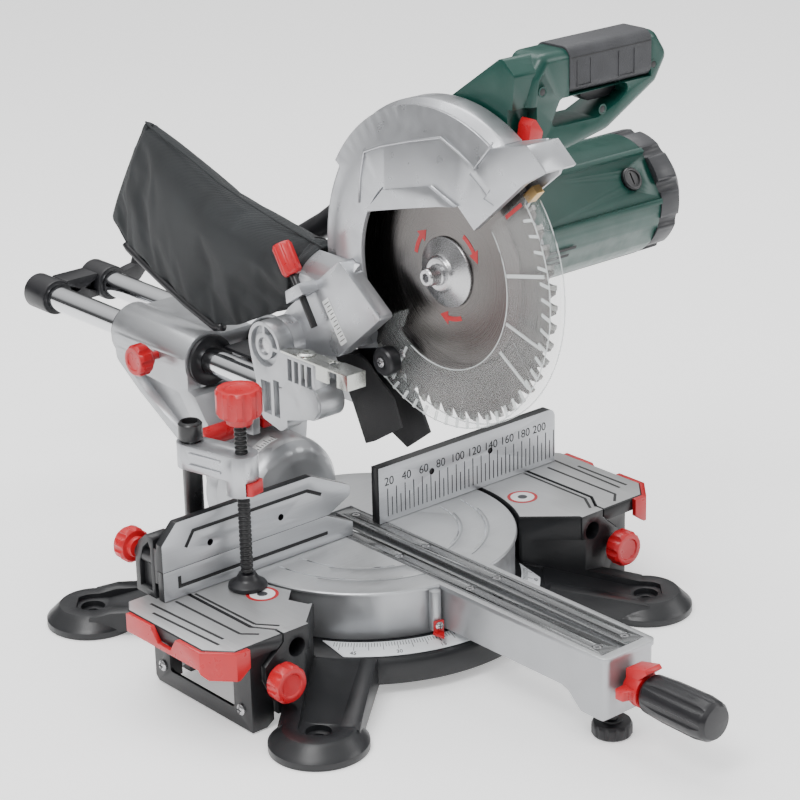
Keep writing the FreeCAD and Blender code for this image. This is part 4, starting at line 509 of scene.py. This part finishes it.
def lettering(name, text, centre, right, up, height, material, body):
    """Raised numerals, flat on a surface. right and up span the surface."""
    curve = bpy.data.curves.new(name, "FONT")
    curve.body = text
    curve.size = height * MM * 1.35
    curve.align_x = "CENTER"
    curve.align_y = "CENTER"
    curve.extrude = 0.00005
    shown = bpy.data.objects.new(name + "_curve", curve)
    bpy.context.scene.collection.objects.link(shown)
    bpy.context.view_layer.update()
    graph = bpy.context.evaluated_depsgraph_get()
    mesh = bpy.data.meshes.new_from_object(shown.evaluated_get(graph))
    bpy.data.objects.remove(shown)
    right = Vector(right).normalized()
    up = Vector(up).normalized()
    turn = Matrix((right, up, right.cross(up))).transposed().to_4x4()
    mesh.transform(Matrix.Translation(Vector(centre) * MM) @ turn)
    mesh.materials.clear()
    mesh.materials.append(material)
    item = bpy.data.objects.new(name, mesh)
    bpy.context.scene.collection.objects.link(item)
    return own(item, body)


# ---------------------------------------------------------------- scales and labels

RULER_ZERO = 4.5
RULER_STEP = 1.03


def fence_ruler():
    """Scale on the right fence's working face, a short mark for 5 and a long one for 10."""
    marks = []
    for value in range(20, 221, 5):
        x = RULER_ZERO + value * RULER_STEP
        high = 115.5 if value % 10 == 0 else 106.5
        marks.append(line_mark((x, -0.1, 88.5), (x, -0.1, high), 0.75, (1, 0, 0)))
    many_slabs("fence_ticks", marks, (0, -0.12, 0), INK_AND_SHADE, "base")
    for value in range(20, 201, 20):
        centre = (RULER_ZERO + value * RULER_STEP + 2, -0.12, 122)
        lettering(f"fence_number_{value}", str(value), centre, (1, 0, 0), (0, 0, 1), 8.4, INK_AND_SHADE, "base")
    for index, x in enumerate((78, 150), start=1):
        turned_piece(f"fence_bolt_{index}", (x, 4, 117), (0, -1, 0), [(2.7, 0), (2.7, 2.4), (1.6, 3)],
                     INK_AND_SHADE, "base", 20)


def mitre_marks():
    """Degree marks and numbers on the sloping ring in front of the turntable."""
    marks = []
    slope = Vector((0, 0, 1))

    def point(radius, degrees, lift=0.0):
        angle = math.radians(degrees - 90)
        z = 39.55 - (radius - 137.5) * 5.3 / 17 + lift
        return Vector((radius * math.cos(angle), radius * math.sin(angle), z))

    for degrees in range(-52, 53):
        long = degrees % 5 == 0
        outer = 147.5 if long else 143.5
        start = point(139, degrees)
        end = point(outer, degrees)
        across = (end - start).cross(slope)
        marks.append(line_mark(start, end, 0.45, across))
    many_slabs("mitre_ticks", marks, (0, 0, 0.15), INK_AND_SHADE, "base")
    for degrees in (-45, -30, -15, 0, 15, 30, 45):
        angle = math.radians(degrees - 90)
        right = Vector((-math.sin(angle), math.cos(angle), 0))
        up = point(139, degrees) - point(150, degrees)
        lettering(f"mitre_number_{degrees}", str(abs(degrees)), point(150.8, degrees, 0.15), right, up, 4.2,
                  INK_AND_SHADE, "base")


def round_label(name, centre):
    """Plain round sticker: a red ring round a white field with a grey disc."""
    x, y = centre
    layers = ((14, 83.05, LABEL_RED), (11, 83.12, LABEL_WHITE), (4.5, 83.2, LOOKS["grey_plastic"]))
    for index, (radius, height, material) in enumerate(layers, start=1):
        disc = [(x + radius * math.cos(a), y + radius * math.sin(a), height) for a in circle_angles(40)]
        flat_piece(f"{name}_{index}", disc, (0, 0, 0.12), material, "base")


def circle_angles(count):
    return [2 * math.pi * step / count for step in range(count)]


TABLE_LINES = {
    "left_extension": [
        [(-231, 8), (-227, -88)], [(-213, -3), (-211, -90)], [(-211, -90), (-200, -101)],
        [(-240, -8), (-236, -94)],
    ],
    "right_extension": [
        [(217, -7), (217, -96)], [(234, 8), (231, -88)],
        [(240, -24), (240, -88)], [(217, -96), (205, -107)],
    ],
    "base": [
        [(-192, -2), (-191, -84)], [(-191, -84), (-178, -100)],
        [(191, -2), (190, -84)], [(190, -84), (178, -103)],
    ],
}


def table_lines():
    """Dark grooves cut in the table tops."""
    for body, lines in TABLE_LINES.items():
        marks = []
        for a, b in lines:
            start = Vector((*a, 83.02))
            end = Vector((*b, 83.02))
            marks.append(line_mark(start, end, 2.6, (end - start).cross(Vector((0, 0, 1)))))
        many_slabs(body + "_table_grooves", marks, (0, 0, 0.12), INK_AND_SHADE, body)


def depth_scale():
    """Slanted white strip with ticks, on the head arm beside the depth stop."""
    corners = [(-37.15, -2, 311), (-37.15, -26, 277), (-37.15, -18, 271), (-37.15, 6, 305)]
    flat_piece("depth_strip", corners, (-0.15, 0, 0), LABEL_WHITE, "head")
    marks = []
    down = (Vector(corners[1]) - Vector(corners[0])) / 12
    over = Vector(corners[3]) - Vector(corners[0])
    for step in range(1, 12):
        start = Vector(corners[0]) + down * step + over * 0.1 + Vector((-0.2, 0, 0))
        end = start + over * (0.75 if step % 2 else 0.5)
        marks.append(line_mark(start, end, 0.7, down))
    many_slabs("depth_ticks", marks, (-0.1, 0, 0), INK_AND_SHADE, "head")


def bevel_scale():
    """Curved white strip with ticks over the bevel boss."""
    rows = []
    for degrees in range(96, 131, 2):
        angle = math.radians(degrees)
        for y in (119, 131):
            rows.append(Vector((55.25 * math.cos(angle), y, 83 + 55.25 * math.sin(angle))) * MM)
    faces = [(i, i + 1, i + 3, i + 2) for i in range(0, len(rows) - 2, 2)]
    strip = add_mesh("bevel_strip", rows, faces, LABEL_WHITE, "table", smooth=True)
    thick = strip.modifiers.new("thickness", "SOLIDIFY")
    thick.thickness = 0.0002
    marks = []
    for degrees in range(97, 130, 3):
        angle = math.radians(degrees)
        ray = Vector((math.cos(angle), 0, math.sin(angle)))
        base = Vector((0, 0, 83)) + ray * 55.45
        long = degrees % 9 == 7
        marks.append(line_mark(base + Vector((0, 120, 0)), base + Vector((0, 128 if long else 124, 0)), 0.7,
                               Vector((-math.sin(angle), 0, math.cos(angle)))))
    many_slabs("bevel_ticks", marks, (0, 0, 0.1), INK_AND_SHADE, "table")


def blade_marks():
    """Three red turning arrows round the flange."""
    centre = Vector((-1.32, BLADE_Y, BLADE_Z))
    for index, start in enumerate((12, 120, 246), start=1):
        outer = [(start + 3 * step, 38) for step in range(9)]
        head = [(start + 24, 34), (start + 38, 40), (start + 24, 46)]
        back = [(start + 3 * step, 42) for step in reversed(range(9))]
        points = []
        for degrees, radius in outer + head + back:
            angle = math.radians(degrees)
            points.append(centre + Vector((0, radius * math.cos(angle), radius * math.sin(angle))))
        flat_piece(f"blade_arrow_{index}", points, (-0.12, 0, 0), LABEL_RED, "blade")


def blade_tips():
    """Carbide tips brazed to the front of each tooth."""
    teeth = 48
    outlines = []
    for tooth in range(teeth):
        start = 360 * tooth / teeth
        shape = [(-0.2, 127.4), (1.6, 127.0), (1.4, 121.5), (-0.3, 121.5)]
        outline = []
        for shift, radius in shape:
            outline.append(spot_round(-1.55, radius, start + shift))
        outlines.append(outline)
    many_slabs("blade_tips", outlines, (3.1, 0, 0), CARBIDE, "blade")


# ---------------------------------------------------------------- fittings

def turntable_arcs():
    """Bright machined arcs on the turntable's top, on both sides of the kerf plates."""
    outlines = []
    for radius in (82, 106):
        for first, last in ((184, 247), (293, 356)):
            for step in range(first, last, 3):
                ring = [(radius - 0.7, step), (radius - 0.7, step + 3), (radius + 0.7, step + 3),
                        (radius + 0.7, step)]
                outlines.append([(r * math.cos(math.radians(a)), r * math.sin(math.radians(a)), 83.02)
                                 for r, a in ring])
    many_slabs("turntable_arcs", outlines, (0, 0, 0.12), LOOKS["chrome"], "table")


def turntable_details():
    """Red pointer with its screw at the front of the turntable."""
    heading = Vector((-36, -132, 0)).normalized()
    side = Vector((-heading.y, heading.x, 0))
    base = Vector((-36, -132, 0)) + heading * 5.2
    tip = [
        base - side * 5, base + heading * 1 - side * 5, base + heading * 12,
        base + heading * 1 + side * 5, base + side * 5,
    ]
    flat_piece("mitre_pointer", [(p.x, p.y, 41.5) for p in tip], (0, 0, 2.2), LOOKS["red_plastic"], "table")
    stem = [base - side * 4.5 + Vector((0, 0, 42)), base + side * 4.5 + Vector((0, 0, 42)),
            base + side * 4.5 + Vector((0, 0, 54)), base - side * 4.5 + Vector((0, 0, 54))]
    flat_piece("mitre_pointer_stem", stem, heading * 2, LOOKS["red_plastic"], "table")
    screw = base + heading * 2 + Vector((0, 0, 50))
    cross_screw("mitre_pointer_screw", tuple(screw), heading, 3.6, "table")


def bevel_details():
    """Pointer plate and screw by the bevel lever, and the cover plate between the rails."""
    plate = [(4, 130.8, 150), (22, 130.8, 150), (22, 130.8, 164), (13, 130.8, 168), (4, 130.8, 164)]
    flat_piece("bevel_pointer_plate", plate, (0, -2, 0), LOOKS["cast_aluminium"], "tilt")
    cross_screw("bevel_pointer_screw", (13, 128.8, 161), (0, -1, 0), 4.2, "tilt")
    strip = [(-19, 86, 214), (-19, 176, 214), (19, 176, 214), (19, 86, 214)]
    item = flat_piece("rail_cover", strip, (0, 0, 3), LOOKS["black_plastic"], "carriage")
    soft_bevel(item)
    cross_screw("rail_cover_screw", (-6, 120, 217), (0, 0, 1), 5, "carriage")


def guard_details():
    """Brass keeper in the nose, the guard's raised ledge, and a rivet and a screw on the clear guard."""
    keeper = [(-2, -207, 436), (-2, -218, 446), (-2, -224, 441), (-2, -214, 431)]
    soft_bevel(flat_piece("guard_keeper", keeper, (8, 0, 0), BRASS, "head"))
    turned_piece("cover_rivet", (-10.2, -67, 270), (-1, 0, 0), [(4, 0), (4, 1), (2.5, 1.8)], LOOKS["steel"],
                 "cover", 20)
    cross_screw("guard_knob_screw", (-23.2, -54, 262), (-1, 0, 0), 4.2, "cover")
    ledge = [
        (-30, 398), (-32, 420), (-38, 443), (-60, 452), (-96, 463),
        (-134, 473), (-154, 465), (-174, 455.5), (-184, 467), (-195, 480),
    ]
    route = [(GUARD_FACE, y, z) for y, z in ledge]
    tube_along("guard_ledge", route, 1.1, LOOKS["silver_paint"], "head")


def cover_details():
    """Spokes, rim beads and the red mark on the clear guard; spokes and beads use the half-opaque clear
    plastic as a painted highlight on its edges.
    """
    middle = Vector((COVER_MARKS, BLADE_Y, BLADE_Z))
    spokes = []
    places = ((196, 84, 126, 2.2), (214, 88, 128, 2.2), (300, 86, 124, 2.2), (168, 84, 127, 3.0))
    for degrees, inner, outer, width in places:
        angle = math.radians(degrees)
        ray = Vector((0, math.cos(angle), math.sin(angle)))
        across = Vector((0, -math.sin(angle), math.cos(angle)))
        spokes.append(line_mark(middle + ray * inner, middle + ray * outer, width, across))
    many_slabs("cover_spokes", spokes, (-1.4, 0, 0), CLEAR_EDGE_HIGHLIGHT, "cover")
    rims = (
        ("near", COVER_NEAR, 130.9, 308), ("far", COVER_FAR, 131.4, 308), ("inner", COVER_NEAR, 81.2, 300),
    )
    for name, x, radius, last in rims:
        route = [spot_round(x, radius, degrees) for degrees in range(142, last, 4)]
        tube_along(f"cover_rim_{name}", route, 0.55, CLEAR_EDGE_HIGHLIGHT, "cover", 8)
    angle = math.radians(141)
    ray = Vector((0, math.cos(angle), math.sin(angle)))
    across = Vector((0, -math.sin(angle), math.cos(angle)))
    mark = line_mark(middle + ray * 104, middle + ray * 127, 3.2, across)
    flat_piece("cover_mark", mark, (-0.4, 0, 0), LABEL_RED, "cover")


def rim_ribs():
    """Moulded teeth along the clear guard's rim, in the half-opaque clear plastic as a painted highlight.
    """
    outlines = []
    for degrees in range(146, 306, 6):
        shape = [(0, 122), (1.2, 131.2), (2.4, 131.2), (1.2, 122)]
        outline = []
        for shift, radius in shape:
            outline.append(spot_round(COVER_MARKS, radius, degrees + shift))
        outlines.append(outline)
    many_slabs("cover_ribs", outlines, (-1.2, 0, 0), CLEAR_EDGE_HIGHLIGHT, "cover")


GRIP_FACE = -184.85


def handle_details():
    """Seams and ribs moulded in the rubber grip, and recessed screws in the green shell."""
    seams = [line_mark((73, GRIP_FACE, 529), (164, GRIP_FACE, 529), 0.7, (0, 0, 1))]
    many_slabs("grip_seam", seams, (0, -0.25, 0), INK_AND_SHADE, "head")
    hoops = []
    for low, high in ((80, 95), (127, 145)):
        hoops.append(line_mark((low, GRIP_FACE, 505), (low, GRIP_FACE, 526), 0.9, (1, 0, 0)))
        hoops.append(line_mark((high, GRIP_FACE, 505), (high, GRIP_FACE, 526), 0.9, (1, 0, 0)))
        hoops.append(line_mark((low, GRIP_FACE, 505), (high, GRIP_FACE, 505), 0.9, (0, 0, 1)))
    many_slabs("grip_hoops", hoops, (0, -0.45, 0), LOOKS["grey_rubber"], "head")
    screws = ((42, 507), (109, 481), (168, 508))
    for index, (x, z) in enumerate(screws, start=1):
        rim = [(4.4, 0), (4.4, 0.5), (3.2, 0.5), (3, 0.1)]
        core = [(2.9, 0), (2.9, 0.15), (2, 0.3)]
        turned_piece(f"shell_screw_{index}", (x, -184.02, z), (0, -1, 0), rim,
                     LOOKS["green_plastic"], "head", 24)
        turned_piece(f"shell_screw_core_{index}", (x, -184.04, z), (0, -1, 0), core,
                     LOOKS["black_steel"], "head", 20)


def motor_details():
    """Parting lines and a cooling recess on the green motor housing; the recess is flat dark slots, painted
    shade.
    """
    centre = Vector((0, MOTOR_Y, MOTOR_Z))
    for index, degrees in enumerate((62, 242), start=1):
        angle = math.radians(degrees)
        ray = Vector((0, math.cos(angle), math.sin(angle)))
        across = Vector((0, -math.sin(angle), math.cos(angle)))
        start = centre + ray * MOTOR_RADIUS + Vector((64, 0, 0))
        end = centre + ray * MOTOR_RADIUS + Vector((228, 0, 0))
        seam = line_mark(start, end, 0.9, across)
        flat_piece(f"motor_seam_{index}", seam, ray * 0.25, INK_AND_SHADE, "head")
    # Cooling recess: flat dark slots laid on the shell, painted shade inside the vents.
    for index in range(5):
        angle = math.radians(196 + index * 7)
        ray = Vector((0, math.cos(angle), math.sin(angle)))
        across = Vector((0, -math.sin(angle), math.cos(angle)))
        start = centre + ray * MOTOR_RADIUS + Vector((84, 0, 0))
        end = centre + ray * MOTOR_RADIUS + Vector((128 - 7 * index, 0, 0))
        slot = line_mark(start, end, 2.6, across)
        flat_piece(f"motor_vent_shade_{index}", slot, ray * 0.3, INK_AND_SHADE, "head")


def extension_details():
    """Screws that hold the rods in the extension's side panels."""
    for label, sign in (("left", -1), ("right", 1)):
        body = label + "_extension"
        for index, (y, z) in enumerate(((-95, 18), (15, 18)), start=1):
            cross_screw(f"{label}_rod_screw_{index}", (sign * 217.1, y, z), (sign, 0, 0), 5, body)


# ---------------------------------------------------------------- dust bag

BAG_STATIONS = [
    # top (Y, Z), bottom (Y, Z), half width, how much thinner the lower edge is, middle X
    ((23, 346), (48, 297), 24, 0.0, -13),
    ((40, 350), (62, 286), 24, 0.1, -15),
    ((78, 359), (104, 266), 24, 0.35, -19),
    ((114, 369), (146, 246), 23, 0.6, -23),
    ((150, 380), (176, 239), 21, 0.75, -27),
    ((186, 395), (212, 253), 18, 0.8, -31),
    ((216, 407), (248, 270), 16, 0.8, -35),
    ((240, 416), (292, 291), 11, 0.6, -38),
    ((249, 420), (317, 316), 3.5, 0.2, -40),
]
BAG_RINGS = 64
BAG_AROUND = 56


def blend_stations(share):
    """Interpolates the bag's stations smoothly along its length."""
    spot = share * (len(BAG_STATIONS) - 1)
    index = min(int(spot), len(BAG_STATIONS) - 2)
    local = spot - index
    first = BAG_STATIONS[index]
    second = BAG_STATIONS[index + 1]
    top = Vector(first[0]).lerp(Vector(second[0]), local)
    low = Vector(first[1]).lerp(Vector(second[1]), local)
    width, pinch, middle = (first[item] + (second[item] - first[item]) * local for item in (2, 3, 4))
    return top, low, width, pinch, middle


def bag_ring(share):
    """One closed ring of the bag, round its top and bottom edges."""
    top, low, width, pinch, middle = blend_stations(share)
    ring = []
    for step in range(BAG_AROUND):
        angle = 2 * math.pi * step / BAG_AROUND
        across = math.sin(angle)
        height = (1 + math.cos(angle)) / 2
        across = math.copysign(abs(across) ** 0.9, across)
        thin = 1 - pinch * (1 - height) ** 1.6
        place = low.lerp(top, height)
        ring.append(Vector((middle + width * thin * across, place.x, place.y)) * MM)
    return ring


def bag_shell():
    points = []
    faces = []
    for ring in range(BAG_RINGS + 1):
        points += bag_ring(ring / BAG_RINGS)
    for ring in range(BAG_RINGS):
        for step in range(BAG_AROUND):
            after = (step + 1) % BAG_AROUND
            low = ring * BAG_AROUND
            high = low + BAG_AROUND
            faces.append((low + step, low + after, high + after, high + step))
    faces.append(tuple(reversed(range(BAG_AROUND))))
    faces.append(tuple(range(BAG_RINGS * BAG_AROUND, (BAG_RINGS + 1) * BAG_AROUND)))
    return points, faces


def simulate_bag(bag):
    """Lets the cloth swell and wrinkle between its mouth and its clamped lower edge."""
    group = bag.vertex_groups.new(name="held")
    held = []
    for index in range(len(bag.data.vertices)):
        ring = min(index // BAG_AROUND, BAG_RINGS)
        step = index % BAG_AROUND
        at_mouth = ring < 3
        at_end = ring > BAG_RINGS - 2
        at_clip = abs(step - BAG_AROUND / 2) < 1.5 and 16 < ring
        if at_mouth or at_end or at_clip:
            held.append(index)
    group.add(held, 1.0, "REPLACE")
    cloth = bag.modifiers.new("cloth", "CLOTH")
    settings = cloth.settings
    settings.quality = 5
    settings.mass = 0.25
    settings.tension_stiffness = 12
    settings.compression_stiffness = 12
    settings.shear_stiffness = 4
    settings.bending_stiffness = 0.35
    settings.use_pressure = True
    settings.uniform_pressure_force = 1.2
    settings.shrink_min = -0.05
    settings.vertex_group_mass = "held"
    settings.effector_weights.gravity = 0
    cloth.collision_settings.use_collision = False
    scene = bpy.context.scene
    scene.frame_start = 1
    scene.frame_end = 24
    cloth.point_cache.frame_end = 24
    for number in range(1, 23):
        scene.frame_set(number)
    graph = bpy.context.evaluated_depsgraph_get()
    settled = bpy.data.meshes.new_from_object(bag.evaluated_get(graph))
    bag.modifiers.remove(cloth)
    bag.data = settled
    scene.frame_set(1)


def dust_bag():
    points, faces = bag_shell()
    bag = add_mesh("bag_cloth", points, faces, LOOKS["black_fabric"], "head", smooth=True)
    simulate_bag(bag)
    bag.modifiers.new("fine", "SUBSURF").render_levels = 1
    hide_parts("dust_bag")
    bag_trim()


def tube_along(name, route, radius, material, body, steps=10):
    """A round bead along a route in millimetres."""
    points = []
    faces = []
    count = len(route)
    for index, here in enumerate(route):
        before = Vector(route[max(0, index - 1)])
        after = Vector(route[min(count - 1, index + 1)])
        first, second = basis(after - before)
        for step in range(steps):
            angle = 2 * math.pi * step / steps
            spoke = first * math.cos(angle) + second * math.sin(angle)
            points.append((Vector(here) + spoke * radius) * MM)
    for index in range(count - 1):
        for step in range(steps):
            after = (step + 1) % steps
            low = index * steps
            faces.append((low + step, low + after, low + steps + after, low + steps + step))
    faces.append(tuple(reversed(range(steps))))
    faces.append(tuple(range((count - 1) * steps, count * steps)))
    return add_mesh(name, points, faces, material, body, smooth=True)


def bag_trim():
    """Seam piping along the top edge, the collar at the port and the slide clip below."""
    top = []
    clip = []
    for step in range(49):
        high, low, width, _, middle = blend_stations(step / 48)
        top.append((middle - 0.3 * width, high.x, high.y - 0.2))
        if 22 <= step <= 43:
            clip.append((middle, low.x + 0.8, low.y - 1.5))
    tube_along("bag_piping", top, 1.0, LOOKS["black_fabric"], "head")
    tube_along("bag_clip", clip, 4.2, LOOKS["black_plastic"], "head", 14)
    turned_piece("bag_collar", (-13, 46, 322), (0, 1, 0), [(24.4, 0), (26.4, 0.4), (26.6, 9), (24.4, 10)],
                 LOOKS["black_rubber"], "head", 48)


# ---------------------------------------------------------------- stage

def sun_box(name, place, target, extent, power, color=(1, 1, 1)):
    """A rectangular soft light that faces its target."""
    light = bpy.data.lights.new(name, "AREA")
    light.shape = "RECTANGLE"
    light.size, light.size_y = extent
    light.energy = power
    light.color = color
    item = bpy.data.objects.new(name, light)
    bpy.context.scene.collection.objects.link(item)
    item.location = place
    ray = Vector(target) - Vector(place)
    item.rotation_mode = "QUATERNION"
    item.rotation_quaternion = ray.to_track_quat("-Z", "Y")


def stage():
    """Pale studio floor and soft lights."""
    floor = bpy.data.meshes.new("floor")
    half = 6
    drop = -0.0005
    corners = [(-half, -half, drop), (half, -half, drop), (half, half, drop), (-half, half, drop)]
    floor.from_pydata(corners, [], [(0, 1, 2, 3)])
    item = bpy.data.objects.new("floor", floor)
    bpy.context.scene.collection.objects.link(item)
    pale = Recipe("floor_white", (0.94, 0.94, 0.94), 0.85)
    pale.shader.inputs["Emission Color"].default_value = (1, 1, 1, 1)
    pale.shader.inputs["Emission Strength"].default_value = 0.45
    floor.materials.append(pale.material)
    item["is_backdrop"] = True
    studio_sky()
    middle = (0, 0, 0.25)
    sun_box("key", (-1.5, -0.7, 2.3), middle, (1.1, 1.1), 42)
    sun_box("fill", (1.9, -1.6, 1.3), middle, (1.2, 1.0), 16)
    sun_box("top", (0.3, 0.7, 2.3), middle, (2.2, 1.2), 34)


SKY = [(0.0, 0.75), (0.49, 0.12), (0.60, 0.09), (0.69, 0.7), (1.0, 1.5)]


def studio_sky():
    """Light from all round: bright overhead, darker towards the sides."""
    world = bpy.data.worlds.new("studio")
    bpy.context.scene.world = world
    world.use_nodes = True
    tree = world.node_tree
    direction = tree.nodes.new("ShaderNodeTexCoord")
    split = tree.nodes.new("ShaderNodeSeparateXYZ")
    tree.links.new(direction.outputs["Generated"], split.inputs[0])
    height = tree.nodes.new("ShaderNodeMapRange")
    height.inputs["From Min"].default_value = -1
    tree.links.new(split.outputs["Z"], height.inputs["Value"])
    ramp = tree.nodes.new("ShaderNodeValToRGB")
    while len(ramp.color_ramp.elements) < len(SKY):
        ramp.color_ramp.elements.new(0.5)
    for element, (place, light) in zip(ramp.color_ramp.elements, SKY):
        element.position = place
        element.color = (light, light, light, 1)
    tree.links.new(height.outputs["Result"], ramp.inputs["Fac"])
    tree.links.new(ramp.outputs["Color"], tree.nodes["Background"].inputs["Color"])
    tree.nodes["Background"].inputs["Strength"].default_value = 1.0


def camera():
    """Camera at the front left, a little above the saw."""
    azimuth, elevation, roll = (math.radians(value) for value in (-40.23, 20.85, -1.407))
    back = Vector((
        math.sin(azimuth) * math.cos(elevation),
        -math.cos(azimuth) * math.cos(elevation),
        math.sin(elevation),
    ))
    right = Vector((math.cos(azimuth), math.sin(azimuth), 0))
    up = back.cross(right)
    cam_right = right * math.cos(roll) + up * math.sin(roll)
    cam_up = up * math.cos(roll) - right * math.sin(roll)
    data = bpy.data.cameras.new("camera")
    data.lens = 113.34
    data.sensor_width = 36
    item = bpy.data.objects.new("camera", data)
    bpy.context.scene.collection.objects.link(item)
    turn = Matrix((cam_right, cam_up, back)).transposed().to_4x4()
    item.matrix_world = Matrix.Translation(Vector((-1.3075, -1.5955, 0.9917))) @ turn
    data.clip_start = 0.05
    data.clip_end = 50
    bpy.context.scene.camera = item


fence_ruler()
mitre_marks()
round_label("left_label", (-151, -42))
round_label("right_label", (151, -42))
table_lines()
depth_scale()
bevel_scale()
blade_marks()
blade_tips()
turntable_arcs()
turntable_details()
bevel_details()
guard_details()
cover_details()
rim_ribs()
handle_details()
motor_details()
extension_details()
dust_bag()
stage()
camera()
save_bounds("dressed")
